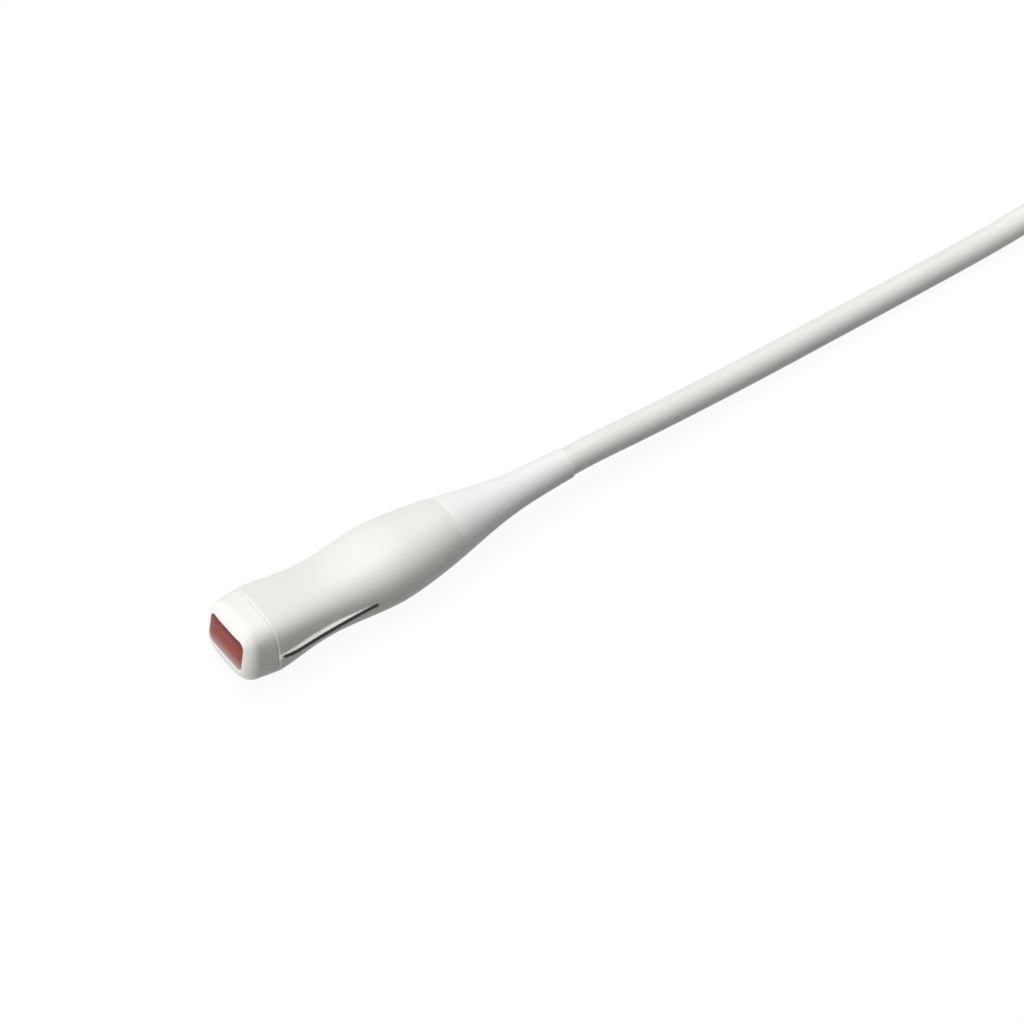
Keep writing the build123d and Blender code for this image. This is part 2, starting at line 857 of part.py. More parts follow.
# Cable from the boot to the hank: down to the floor and along it
hank_high_run = hank_side + hank_fold
hank_base = tie_thickness
hank_level = hank_base + cable_radius
cable_route = [
    (probe_length, 0, axis_height),
    (146, 0, axis_height),
    (169, 0.2, 10.0),
    (212, 1.4, 6.7),
    (258, 2.5, cable_radius),
    (306, 2.2, cable_radius),
    (336, 2.5, cable_radius),
    (363, hank_high_run, hank_level),
    (hank_place, hank_high_run, hank_level),
]


def cord(name, route):
    """A round cord along straight runs with an arc at each corner, as large as the runs allow."""
    points = [Vector(front_x + x, y, z) for x, y, z in route]
    runs = [end - start for start, end in zip(points, points[1:])]
    radii = []
    for before, after in zip(runs, runs[1:]):
        half_turn = radians(before.get_angle(after)) / 2
        radii.append(arc_share * min(before.length, after.length) / tan(half_turn))
    print(name, "arc radii", [round(radius) for radius in radii])
    with BuildPart() as tube:
        with BuildLine() as path:
            FilletPolyline(*points, radius=radii)
        with BuildSketch(Plane(points[0], z_dir=runs[0])):
            Circle(cable_radius)
        sweep(path=path.wire())
    length = path.wire().length
    share = tube.part.volume / (pi * cable_radius**2 * length)
    print(name, "length", round(length, 1), "volume against section by length", round(share, 4))
    return tube.part


with BuildPart() as cable:
    add(cord("cable", cable_route))
cable.part.label = "cable"
export_step(cable.part, "parts/cable.step")

# Put-away hank: the outer shape of long loops wound on each other, the last run on top
hank_middle = front_x + hank_place + hank_run / 2
hank_start = front_x + hank_place
hank_end = hank_place + hank_run
ring_width = 2 * (hank_fold + cable_radius)
hole_width = 2 * (hank_fold - cable_radius)
top_base = hank_base + hank_turns * cable_diameter
with BuildPart() as cable_hank:
    with BuildSketch(Plane((hank_middle, hank_side, hank_base))):
        SlotCenterToCenter(hank_run, ring_width)
        SlotCenterToCenter(hank_run, hole_width, mode=Mode.SUBTRACT)
    extrude(amount=hank_turns * cable_diameter)
    with BuildSketch(Plane((hank_start, hank_side, hank_base))):
        Rectangle(ring_width, ring_width, align=(Align.MAX, Align.MIN))
    extrude(amount=cable_diameter + tie_gap, mode=Mode.SUBTRACT)
    with BuildSketch(Plane((hank_start, hank_side, top_base))):
        with Locations((0, hank_fold)):
            Rectangle(hank_run, cable_diameter, align=(Align.MIN, Align.CENTER))
        Circle(ring_width / 2)
        Circle(hole_width / 2, mode=Mode.SUBTRACT)
        Rectangle(ring_width, ring_width, align=(Align.CENTER, Align.MAX), mode=Mode.SUBTRACT)
        with Locations((0, -cable_radius)):
            Rectangle(ring_width, hank_fold, align=(Align.MIN, Align.MIN), mode=Mode.SUBTRACT)
    extrude(amount=cable_diameter)
cable_hank.part.label = "cable_hank"
export_step(cable_hank.part, "parts/cable_hank.step")


def tie(side, top):
    """A strap loop round one side of the hank."""
    height = top + tie_gap - hank_base
    width = cable_diameter + 2 * tie_gap
    middle = (hank_middle, side, hank_base + height / 2)
    with BuildPart() as loop:
        with BuildSketch(Plane(middle, x_dir=(0, 1, 0), z_dir=(1, 0, 0))):
            RectangleRounded(width + 2 * tie_thickness, height + 2 * tie_thickness, tie_thickness)
            Rectangle(width, height, mode=Mode.SUBTRACT)
        extrude(amount=tie_width / 2, both=True)
    return loop.part


with BuildPart() as cable_ties:
    add(tie(hank_side + hank_fold, top_base + cable_diameter))
    add(tie(hank_side - hank_fold, top_base))
cable_ties.part.label = "cable_ties"
export_step(cable_ties.part, "parts/cable_ties.step")

# Lead from the hank's top run down to the connector
lead_height = top_base + cable_radius
drop_place = hank_end + lead_level
landing_place = drop_place + lead_drop
connector_place = landing_place + lead_straight
housing_place = connector_place + connector_boot_length
lead_route = [
    (hank_end, hank_high_run, lead_height),
    (drop_place, hank_high_run, lead_height),
    (landing_place, connector_side, connector_axis),
    (housing_place + lead_inside, connector_side, connector_axis),
]
with BuildPart() as cable_lead:
    add(cord("cable_lead", lead_route))
cable_lead.part.label = "cable_lead"
export_step(cable_lead.part, "parts/cable_lead.step")

# Boot of the connector: a cone on the cable, held by its neck and flange in the housing wall
housing_end = housing_place + housing_length
with BuildPart() as connector_boot:
    boot_start = (front_x + connector_place, connector_side, connector_axis)
    neck_end = connector_boot_length + housing_wall
    flange_end = neck_end + connector_boot_flange_thickness
    with BuildSketch(Plane(boot_start, x_dir=(1, 0, 0), z_dir=(0, -1, 0))):
        with BuildLine():
            Polyline(
                (0, cable_radius),
                (0, connector_boot_small),
                (connector_boot_length, connector_boot_large),
                (connector_boot_length, connector_boot_neck),
                (neck_end, connector_boot_neck),
                (neck_end, connector_boot_flange),
                (flange_end, connector_boot_flange),
                (flange_end, cable_radius),
                close=True,
            )
        make_face()
    revolve(axis=Axis(boot_start, (1, 0, 0)))
connector_boot.part.label = "connector_boot"
export_step(connector_boot.part, "parts/connector_boot.step")

# Connector housing: two half shells on four screw bosses
housing_middle = front_x + housing_place + housing_length / 2
boss_side = housing_width / 2 - boss_side_inset
boss_spots = [
    (place, connector_side + side)
    for place in (housing_place + boss_rear_gap, housing_end - boss_front_gap)
    for side in (-boss_side, boss_side)
]
connector_rise = connector_axis - axis_height
screw_seat = housing_screw_sink + housing_screw_head_height


def half_housing():
    """The lower half shell, with its edge of the parting groove, before its screw holes."""
    with BuildPart() as half:
        with BuildSketch(Plane((housing_middle, connector_side, 0))):
            RectangleRounded(housing_length, housing_width, housing_corner)
        extrude(amount=connector_axis)
        fillet(half.faces().sort_by(Axis.Z)[0].edges(), housing_edge)
        chamfer(half.faces().sort_by(Axis.Z)[-1].edges(), housing_parting)
        with BuildSketch(Plane((housing_middle, connector_side, housing_wall))):
            RectangleRounded(
                housing_length - 2 * housing_wall,
                housing_width - 2 * housing_wall,
                housing_corner - housing_wall,
            )
        extrude(amount=connector_axis - housing_wall, mode=Mode.SUBTRACT)
        for place, side in boss_spots:
            add(post(place, side, housing_wall, connector_axis, boss_radius))
        add(
            rod(
                housing_place, housing_wall, connector_boot_neck + fit_gap,
                connector_rise, connector_side,
            ),
            mode=Mode.SUBTRACT,
        )
        add(
            rounded_block(
                housing_end - housing_wall, housing_wall, shell_width + 2 * fit_gap,
                shell_height + 2 * fit_gap, shell_corner, connector_rise, connector_side,
            ),
            mode=Mode.SUBTRACT,
        )
    return half.part


with BuildPart() as connector_housing_lower:
    add(half_housing())
    for place, side in boss_spots:
        head_hole = post(place, side, 0, screw_seat, housing_screw_head + fit_gap)
        add(head_hole, mode=Mode.SUBTRACT)
        shank_hole = post(place, side, screw_seat, connector_axis, housing_screw_radius + fit_gap)
        add(shank_hole, mode=Mode.SUBTRACT)
connector_housing_lower.part.label = "connector_housing_lower"
export_step(connector_housing_lower.part, "parts/connector_housing_lower.step")

with BuildPart() as connector_housing_upper:
    mirror(half_housing(), about=Plane.XY.offset(connector_axis))
    for place, side in boss_spots:
        thread = post(place, side, connector_axis, connector_axis + housing_screw_bite, housing_screw_radius)
        add(thread, mode=Mode.SUBTRACT)
connector_housing_upper.part.label = "connector_housing_upper"
export_step(connector_housing_upper.part, "parts/connector_housing_upper.step")

with BuildPart() as connector_screws:
    for place, side in boss_spots:
        add(post(place, side, housing_screw_sink, screw_seat, housing_screw_head))
        add(post(place, side, screw_seat, connector_axis + housing_screw_bite, housing_screw_radius))
connector_screws.part.label = "connector_screws"
export_step(connector_screws.part, "parts/connector_screws.step")

# Metal shell of the plug, with the flange that holds it behind the housing wall
with BuildPart() as connector_shell:
    shell_place = housing_end - shell_seat
    shell_length = shell_seat + shell_reach
    flange_back = housing_end - housing_wall - shell_flange_thickness
    add(
        rounded_block(
            shell_place, shell_length, shell_width, shell_height, shell_corner,
            connector_rise, connector_side,
        )
    )
    add(
        rounded_block(
            flange_back, shell_flange_thickness, shell_width, shell_height + 2 * shell_flange,
            shell_corner, connector_rise, connector_side,
        )
    )
    bore_width = shell_width - 2 * shell_wall
    bore_height = shell_height - 2 * shell_wall
    bore_corner = shell_corner - shell_wall
    add(
        rounded_block(
            shell_place, shell_length, bore_width, bore_height, bore_corner,
            connector_rise, connector_side,
        ),
        mode=Mode.SUBTRACT,
    )
connector_shell.part.label = "connector_shell"
export_step(connector_shell.part, "parts/connector_shell.step")

# Insulating insert in the shell, with its rows of contacts
insert_front = housing_end + shell_reach - insert_recess
insert_back = insert_front - insert_length
with BuildPart() as connector_insert:
    add(
        rounded_block(
            insert_back, insert_length, bore_width, bore_height, bore_corner,
            connector_rise, connector_side,
        )
    )
connector_insert.part.label = "connector_insert"
export_step(connector_insert.part, "parts/connector_insert.step")

with BuildPart() as contact_pins:
    with BuildSketch(at(insert_front, connector_rise, connector_side)):
        with GridLocations(pin_pitch, pin_row_pitch, pin_columns, pin_rows):
            Rectangle(pin_size, pin_size)
    extrude(amount=pin_proud)
contact_pins.part.label = "contact_pins"
export_step(contact_pins.part, "parts/contact_pins.step")

# Board behind the insert, and the coaxial leads that fan out onto it
connector_board_place = insert_back - connector_board_length
with BuildPart() as connector_board:
    with BuildSketch(at(connector_board_place, connector_rise, connector_side)):
        Rectangle(connector_board_width, connector_board_thickness)
    extrude(amount=connector_board_length)
connector_board.part.label = "connector_board"
export_step(connector_board.part, "parts/connector_board.step")

with BuildPart() as connector_coax:
    with BuildSketch(at(housing_place + lead_inside, connector_rise, connector_side)):
        add(oval(core_radius, core_radius, lip_fullness))
    with BuildSketch(at(connector_board_place, connector_rise, connector_side)):
        add(oval(fan_half_width, fan_half_height, bundle_fullness))
    loft()
connector_coax.part.label = "connector_coax"
export_step(connector_coax.part, "parts/connector_coax.step")
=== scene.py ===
"""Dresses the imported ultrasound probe: moulded shells, lens, cable, connector and stage.

Lengths in the tables and functions are millimetres along the probe, as a maker would give
them, and meshes are written in metres. Places are measured from the front of the nose.
"""

import math

import bmesh
import bpy
import numpy as np
from mathutils import Matrix, Vector


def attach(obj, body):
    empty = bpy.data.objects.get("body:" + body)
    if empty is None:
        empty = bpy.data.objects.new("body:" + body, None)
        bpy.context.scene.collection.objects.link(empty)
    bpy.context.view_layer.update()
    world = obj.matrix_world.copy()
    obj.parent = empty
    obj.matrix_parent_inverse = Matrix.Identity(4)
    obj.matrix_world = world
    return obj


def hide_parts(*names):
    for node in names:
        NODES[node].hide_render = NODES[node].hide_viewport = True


bl_info = {
    "name": "Ultrasound Probe",
    "version": (1, 0, 0),
    "blender": (4, 5, 0),
    "location": "View3D > Sidebar > Probe",
    "description": "Builds the surfaces, cable and stage of a hand-held ultrasound probe",
    "category": "Object",
}

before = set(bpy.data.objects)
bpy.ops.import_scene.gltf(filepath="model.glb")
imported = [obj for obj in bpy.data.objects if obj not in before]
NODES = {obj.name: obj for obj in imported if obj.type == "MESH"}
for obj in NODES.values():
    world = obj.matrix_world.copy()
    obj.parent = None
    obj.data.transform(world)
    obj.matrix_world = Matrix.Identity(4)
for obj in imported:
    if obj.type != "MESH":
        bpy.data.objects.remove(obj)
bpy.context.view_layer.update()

MM = 0.001
FRONT_X = -66.882
AXIS_Z = 12.0

# Places of the seams and the boot's lip, and how full and how high the sections are there
NOSE_LENGTH, HANDLE_END, PROBE_LENGTH = 10.9, 84.8, 134.5
SEAM_FULLNESS, REAR_FULLNESS, CIRCLE = 0.82, 0.60, 0.5523
SEAM_RISE = 0.46

# Sections of the handle and boot: place, half width, half height, fullness and rise
SECTIONS = (
    (NOSE_LENGTH, 13.47, 12.24, SEAM_FULLNESS, SEAM_RISE),
    (15.0, 13.65, 11.80, 0.80, 0.43),
    (21.0, 13.2, 11.0, 0.78, 0.4),
    (34.8, 12.82, 10.03, 0.69, 0.0),
    (60.2, 14.6, 11.97, 0.64, 0.0),
    (72.0, 13.45, 11.74, 0.62, 0.0),
    (HANDLE_END, 11.2, 10.8, REAR_FULLNESS, 0.0),
    (96.98, 8.8, 8.65, 0.58, 0.0),
    (111.64, 6.6, 6.4, 0.56, 0.0),
    (123.07, 5.8, 5.75, CIRCLE, 0.0),
    (PROBE_LENGTH, 5.4, 5.4, CIRCLE, 0.0),
)


# Sizes and colours that a user would change


class ProbeSizes(bpy.types.PropertyGroup):
    """Lengths of the parts that are drawn here."""

    cable_diameter: bpy.props.FloatProperty(
        name="Cable diameter", description="Outside of the jacket", default=0.0098, unit="LENGTH"
    )
    cable_length: bpy.props.FloatProperty(
        name="Cable length", description="From the boot to the connector", default=1.99, unit="LENGTH"
    )
    lens_width: bpy.props.FloatProperty(
        name="Lens width", description="Across the probe", default=0.0182, unit="LENGTH"
    )
    lens_height: bpy.props.FloatProperty(
        name="Lens height", description="Up the nose", default=0.0118, unit="LENGTH"
    )


class ProbeColours(bpy.types.PropertyGroup):
    """Colours of the finishes that show."""

    plastic: bpy.props.FloatVectorProperty(
        name="Plastic", description="Handle and nose", subtype="COLOR", default=(0.84, 0.842, 0.805)
    )
    boot: bpy.props.FloatVectorProperty(
        name="Boot", description="Strain relief", subtype="COLOR", default=(0.9, 0.902, 0.885)
    )
    jacket: bpy.props.FloatVectorProperty(
        name="Jacket", description="Cable", subtype="COLOR", default=(0.85, 0.852, 0.825)
    )
    lens: bpy.props.FloatVectorProperty(
        name="Lens", description="Upper part of the lens", subtype="COLOR", default=(0.275, 0.045, 0.036)
    )
    # Painted reflection: the pale tone put into the lower part of the lens's colour.
    lens_painted_reflection: bpy.props.FloatVectorProperty(
        name="Lens, low", description="Lower part of the lens", subtype="COLOR", default=(0.50, 0.36, 0.33)
    )
    marker: bpy.props.FloatVectorProperty(
        name="Marker", description="Inlay of the marker rib", subtype="COLOR", default=(0.03, 0.03, 0.028)
    )
    connector: bpy.props.FloatVectorProperty(
        name="Connector", description="Housing and its boot", subtype="COLOR", default=(0.55, 0.56, 0.57)
    )


# Shader maths


class Value:
    """A shader socket that takes part in Python arithmetic."""

    def __init__(self, finish, socket):
        self.finish = finish
        self.socket = socket

    def __add__(self, other):
        return self.finish.math("ADD", self, other)

    def __radd__(self, other):
        return self.finish.math("ADD", other, self)

    def __sub__(self, other):
        return self.finish.math("SUBTRACT", self, other)

    def __mul__(self, other):
        return self.finish.math("MULTIPLY", self, other)


class Finish:
    """A material while it is being made."""

    def __init__(self, name):
        self.material = bpy.data.materials.new(name)
        self.material.use_nodes = True
        self.tree = self.material.node_tree
        self.tree.nodes.clear()

    def node(self, kind, settings=None, inputs=None, output=0):
        """Adds a node, sets it up, joins its sockets and gives one of its outputs."""
        made = self.tree.nodes.new(kind)
        for name, setting in (settings or {}).items():
            if name == "stops":
                ramp = made.color_ramp.elements
                while len(ramp) < len(setting):
                    ramp.new(1.0)
                for element, (position, colour) in zip(ramp, setting):
                    element.position = position
                    element.color = colour
            else:
                setattr(made, name, setting)
        for name, value in (inputs or {}).items():
            if isinstance(value, Value):
                self.tree.links.new(value.socket, made.inputs[name])
            else:
                made.inputs[name].default_value = value
        return Value(self, made.outputs[output]) if made.outputs else None

    def math(self, operation, first, second):
        return self.node("ShaderNodeMath", {"operation": operation}, {0: first, 1: second})

    def mix(self, share, first, second):
        """Blends two colours."""
        settings = {"data_type": "RGBA", "blend_type": "MIX"}
        return self.node("ShaderNodeMix", settings, {0: share, 6: first, 7: second}, output=2)

    def place(self):
        return self.node("ShaderNodeTexCoord", output="Object")

    def noise(self, place, scale, detail=2.0):
        """A noise whose grain is about one part in scale of a metre."""
        inputs = {"Vector": place, "Scale": scale, "Detail": detail}
        return self.node("ShaderNodeTexNoise", {"noise_dimensions": "3D"}, inputs)

    def bump(self, height, strength, distance):
        inputs = {"Height": height, "Strength": strength, "Distance": distance}
        return self.node("ShaderNodeBump", None, inputs)

    def surface(self, inputs):
        """Ends the material in one shader."""
        shader = self.node("ShaderNodeBsdfPrincipled", None, inputs)
        self.end(shader)
        return self.material

    def end(self, shader):
        self.node("ShaderNodeOutputMaterial", None, {"Surface": shader})


def rgba(colour, shade=1.0):
    return (colour[0] * shade, colour[1] * shade, colour[2] * shade, 1.0)


# Finishes


def moulded_plastic(name, colour, roughness=0.42, grain=0.05, coat=0.0):
    """Moulded plastic: a fine even grain, faint mottling and rubbed patches."""
    finish = Finish(name)
    place = finish.place()
    mottle = finish.noise(place, scale=90.0, detail=3.0)
    spark = finish.noise(place, scale=2600.0)
    rubbed = finish.noise(place, scale=38.0)
    return finish.surface(
        {
            "Base Color": finish.mix(mottle, rgba(colour, 0.97), rgba(colour, 1.03)),
            "Roughness": roughness - 0.05 + rubbed * 0.08 + spark * 0.04,
            "Specular IOR Level": 0.3,
            "Coat Weight": coat,
            "Normal": finish.bump(spark, strength=grain, distance=0.0001),
        }
    )


def lens_silicone(name, colour, painted_reflection):
    """Cast silicone: a little cloudy, with a soft skin, a painted reflection paling its lower edge and
    painted shade darkening its upper rim.
    """
    finish = Finish(name)
    place = finish.place()
    cloud = finish.noise(place, scale=140.0, detail=3.0)
    skin = finish.noise(place, scale=900.0)
    height = finish.node("ShaderNodeSeparateXYZ", None, {"Vector": place}, output="Z")
    lens_height = bpy.context.scene.probe_sizes.lens_height
    low = (AXIS_Z + LENS_RISE) * MM - lens_height / 2
    share = (height - low) * (1 / lens_height) + (cloud - 0.5) * 0.12
    # Base colour by height: the pale stops are a painted reflection of the floor, and the darkest stops
    # are painted shade under the window's upper edge.
    painted_light_stops = (
        (0.0, rgba(painted_reflection)),
        (0.14, rgba([(a + b) / 2 for a, b in zip(painted_reflection, colour)])),
        (0.4, rgba(colour, 1.08)),
        (0.86, rgba(colour, 0.86)),
        (0.95, rgba(colour, 0.4)),
    )
    return finish.surface(
        {
            "Base Color": finish.node("ShaderNodeValToRGB", {"stops": painted_light_stops}, {"Fac": share}),
            "Roughness": 0.42 + skin * 0.1,
            "Specular IOR Level": 0.25,
            "Normal": finish.bump(skin, strength=0.06, distance=0.0001),
        }
    )


def jacket_skin(name, colour):
    """Extruded cable jacket: satin, with faint flow marks and handling marks."""
    finish = Finish(name)
    place = finish.place()
    flow = finish.noise(place, scale=420.0)
    marks = finish.noise(place, scale=60.0, detail=4.0)
    return finish.surface(
        {
            "Base Color": finish.mix(marks, rgba(colour, 0.97), rgba(colour, 1.03)),
            "Roughness": 0.44 + flow * 0.1,
            "Normal": finish.bump(flow, strength=0.05, distance=0.0002),
        }
    )


def brushed_metal(name, colour, roughness=0.32):
    """Plain metal with fine drawn lines along the probe."""
    finish = Finish(name)
    place = finish.place()
    stretch = finish.node("ShaderNodeMapping", None, {"Vector": place, "Scale": (60.0, 2400.0, 2400.0)})
    lines = finish.noise(stretch, scale=1.0, detail=3.0)
    return finish.surface(
        {
            "Base Color": finish.mix(lines, rgba(colour, 0.85), rgba(colour, 1.08)),
            "Metallic": 1.0,
            "Roughness": roughness + lines * 0.14,
            "Normal": finish.bump(lines, strength=0.08, distance=0.0001),
        }
    )


def board_mask(name, colour):
    """Circuit board: solder mask over a pattern of tracks."""
    finish = Finish(name)
    place = finish.place()
    inputs = {"Vector": place, "Scale": 700.0, "Mortar Size": 0.08}
    tracks = finish.node("ShaderNodeTexBrick", None, inputs, output="Fac")
    weave = finish.noise(place, scale=1500.0)
    return finish.surface(
        {
            "Base Color": finish.mix(tracks, rgba(colour), rgba(colour, 1.7)),
            "Roughness": 0.3 + weave * 0.15,
            "Normal": finish.bump(tracks, strength=0.2, distance=0.00005),
        }
    )


# Mesh building


def point(place, y, rise):
    """A point in metres from millimetres along, across and above the probe's axis."""
    return Vector(((FRONT_X + place) * MM, y * MM, (AXIS_Z + rise) * MM))


def natural_spline(knots, values):
    """A smooth function through values at knots, with no bend at its ends."""
    knots = np.asarray(knots)
    values = np.asarray(values)
    count = len(knots)
    gaps = np.diff(knots)
    system = np.eye(count)
    right = np.zeros(count)
    for i in range(1, count - 1):
        system[i, i - 1] = gaps[i - 1]
        system[i, i] = 2 * (gaps[i - 1] + gaps[i])
        system[i, i + 1] = gaps[i]
        slopes = (values[i + 1] - values[i]) / gaps[i] - (values[i] - values[i - 1]) / gaps[i - 1]
        right[i] = 6 * slopes
    bends = np.linalg.solve(system, right)

    def at(x):
        i = int(np.clip(np.searchsorted(knots, x) - 1, 0, count - 2))
        gap, before, after = gaps[i], knots[i + 1] - x, x - knots[i]
        return float(
            (bends[i] * before**3 + bends[i + 1] * after**3) / (6 * gap)
            + (values[i] / gap - bends[i] * gap / 6) * before
            + (values[i + 1] / gap - bends[i + 1] * gap / 6) * after
        )

    return at


PLACES = [section[0] for section in SECTIONS]
SKIN = [natural_spline(PLACES, [section[i] for section in SECTIONS]) for i in range(1, 5)]

# Steps round a quarter of a section: fine beside the marker rib, even elsewhere
FINE_STEP, FINE_COUNT, REST_COUNT, EVEN_COUNT = 0.0045, 32, 22, 24
FINE_END = FINE_STEP * (FINE_COUNT - 1)
FINE_STEPS = [i * FINE_STEP for i in range(FINE_COUNT)]
FINE_STEPS += [FINE_END + (1 - FINE_END) * i / REST_COUNT for i in range(1, REST_COUNT)]
EVEN_STEPS = [i / EVEN_COUNT for i in range(EVEN_COUNT)]


def quarter(step, half_width, half_height, fullness):
    """A point on a quarter of a section, from its side to its top."""
    back = 1 - step
    side = back**3 + 3 * back**2 * step + 3 * back * step**2 * fullness
    top = 3 * back**2 * step * fullness + 3 * back * step**2 + step**3
    return half_width * side, half_height * top


def section_loop(half_width, half_height, fullness):
    """Points round a section as (across, up), from the marker's side over the top."""
    loop = []
    for y, z in (quarter(s, half_width, half_height, fullness) for s in FINE_STEPS):
        loop.append((-y, z))
    for y, z in (quarter(1 - s, half_width, half_height, fullness) for s in EVEN_STEPS):
        loop.append((y, z))
    for y, z in (quarter(s, half_width, half_height, fullness) for s in EVEN_STEPS):
        loop.append((y, -z))
    for y, z in (quarter(1 - s, half_width, half_height, fullness) for s in reversed_steps()):
        loop.append((-y, -z))
    return loop


def reversed_steps():
    """The fine steps counted from the bottom towards the marker's side."""
    return [0.0] + [1 - s for s in reversed(FINE_STEPS[1:])]


def ring(place, half_width, half_height, fullness, rise):
    return [point(place, y, z + rise) for y, z in section_loop(half_width, half_height, fullness)]


def skin_ring(place, inset=0.0):
    """A ring of the handle and boot form, smaller all round by the inset."""
    half_width, half_height, fullness, rise = (curve(place) for curve in SKIN)
    return ring(place, half_width - inset, half_height - inset, fullness, rise)


def new_piece(name, mesh_maker, finish, slot, *nodes):
    """Makes a smooth-shaded piece from a bmesh, in place of the CAD nodes that it stands for."""
    mesh = bpy.data.meshes.new(name)
    work = bmesh.new()
    mesh_maker(work)
    bmesh.ops.recalc_face_normals(work, faces=work.faces)
    for face in work.faces:
        face.smooth = True
    work.to_mesh(mesh)
    work.free()
    piece = bpy.data.objects.new(name, mesh)
    bpy.context.scene.collection.objects.link(piece)
    mesh.materials.append(finish)
    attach(piece, "root")
    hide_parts(*nodes)
    return piece


def stack(work, rings, cyclic=False, caps=False):
    """Joins rings of points, one after the other, with four-sided faces."""
    rows = [[work.verts.new(p) for p in loop] for loop in rings]
    pairs = list(zip(rows, rows[1:]))
    if cyclic:
        pairs.append((rows[-1], rows[0]))
    for first, second in pairs:
        for i in range(len(first)):
            j = (i + 1) % len(first)
            work.faces.new((first[i], first[j], second[j], second[i]))
    if caps:
        work.faces.new(rows[0])
        work.faces.new(rows[-1])


def smooth_step(low, high, x):
    share = min(max((x - low) / (high - low), 0.0), 1.0)
    return share * share * (3 - 2 * share)


# Orientation marker: how far the rib's crest stands from the axis, at places along it
RIB_START, RIB_END = 11.3, 50.0
CREST = natural_spline((11.5, 15.0, 21.0, 34.8, 50.0), (13.87, 14.55, 14.48, 13.9, 13.9))
RIB_LAND, RIB_FLANK, RIB_FALL = 1.05, 0.45, 1.4
RIB_RUN_IN, RIB_RUN_OUT = 0.5, 1.4


def crest(place):
    """How far the rib's crest stands from the axis, never under the handle's skin."""
    return max(CREST(place), SKIN[0](place))


def with_rib(loop, place):
    """Draws the marker rib out of a ring of the handle's skin."""
    ends = smooth_step(RIB_START, RIB_START + RIB_RUN_IN, place)
    ends *= 1 - smooth_step(RIB_END - RIB_RUN_OUT, RIB_END, place)
    if ends <= 0:
        return loop
    drawn = []
    for p in loop:
        height = abs(p.z / MM - AXIS_Z)
        out = -p.y / MM
        top = crest(place) - RIB_FALL * max(height - RIB_LAND, 0.0) / RIB_FLANK
        if out > 0 and top > out and height < RIB_LAND + RIB_FLANK:
            p = Vector((p.x, -(out + (top - out) * ends) * MM, p.z))
        drawn.append(p)
    return drawn


# Rounded edges of handle and boot: length, depth and the power of the curve, from 1 for a bevel
FRONT_EDGE = (0.9, 0.6, 1.3)
BOOT_EDGE = (1.3, 0.3, 2.0)
REAR_EDGE = (0.25, 0.25, 2.0)
LIP_EDGE = (0.35, 0.35, 2.0)
EDGE_SHARES = (1.0, 0.85, 0.7, 0.5, 0.33, 0.2, 0.1, 0.03, 0.0)

# Rings of the handle: their steps, where the rib runs out, and how near the rear they stop
CLOSE_STEP, CLOSE_RINGS, WIDE_STEP = 0.4, 8, 1.1
RIB_TAIL = (47.0, 50.5)
REAR_MARGIN, LAST_RING = 1.6, 0.45

# Inside of the handle: half sizes and depth of its two mouths, its wall and the cavity's places
FRONT_MOUTH, FRONT_MOUTH_DEPTH = (11.27, 10.04), 4.6
REAR_MOUTH, REAR_MOUTH_DEPTH = (9.9, 9.5), 5.9
WALL = 2.8
CAVITY_PLACES = (77.0, 70.0, 60.0, 50.0, 40.0, 30.0, 22.0, 15.6)


def handle_places(first):
    """Where the handle's rings go, behind its front edge: close together at the ends of the rib."""
    places = [first + CLOSE_STEP * i for i in range(1, CLOSE_RINGS + 1)]
    while places[-1] < HANDLE_END - REAR_MARGIN:
        step = CLOSE_STEP if RIB_TAIL[0] < places[-1] < RIB_TAIL[1] else WIDE_STEP
        places.append(places[-1] + step)
    return places + [HANDLE_END - LAST_RING]


def edge_rings(place, edge, direction):
    """Rings across the rounded edge at a seam, from the outer skin in to the end face."""
    length, depth, power = edge
    rings = []
    for share in EDGE_SHARES:
        x = place + direction * length * share
        inset = depth * (1 - (1 - (1 - share) ** power) ** (1 / power))
        rings.append(with_rib(skin_ring(x, inset), x))
    return rings


def build_handle(work):
    """The handle's shell: its front edge, skin and rib, rear edge, rear mouth, cavity and front mouth."""
    rings = edge_rings(NOSE_LENGTH, FRONT_EDGE, 1)[::-1]
    rings += [with_rib(skin_ring(x), x) for x in handle_places(NOSE_LENGTH + FRONT_EDGE[0])]
    rings += edge_rings(HANDLE_END, REAR_EDGE, -1)
    for place in (HANDLE_END, HANDLE_END - REAR_MOUTH_DEPTH):
        rings.append(ring(place, *REAR_MOUTH, REAR_FULLNESS, 0.0))
    rings += [skin_ring(x, WALL) for x in CAVITY_PLACES]
    for place in (NOSE_LENGTH + FRONT_MOUTH_DEPTH, NOSE_LENGTH):
        rings.append(ring(place, *FRONT_MOUTH, SEAM_FULLNESS, SEAM_RISE))
    stack(work, rings, cyclic=True)


# Inlay of the marker: its ends, half height, how deep and proud it sits, its eased edge and steps
STRIP_START, STRIP_END = 12.5, 49.0
STRIP_HALF_HEIGHT, STRIP_DEPTH, STRIP_PROUD, STRIP_EASE = 0.85, 0.5, 0.07, 0.1
STRIP_STEPS = 76
TIP_SHARES = (0.01, 0.04, 0.1, 0.2, 0.32, 0.48, 0.7, 1.0)


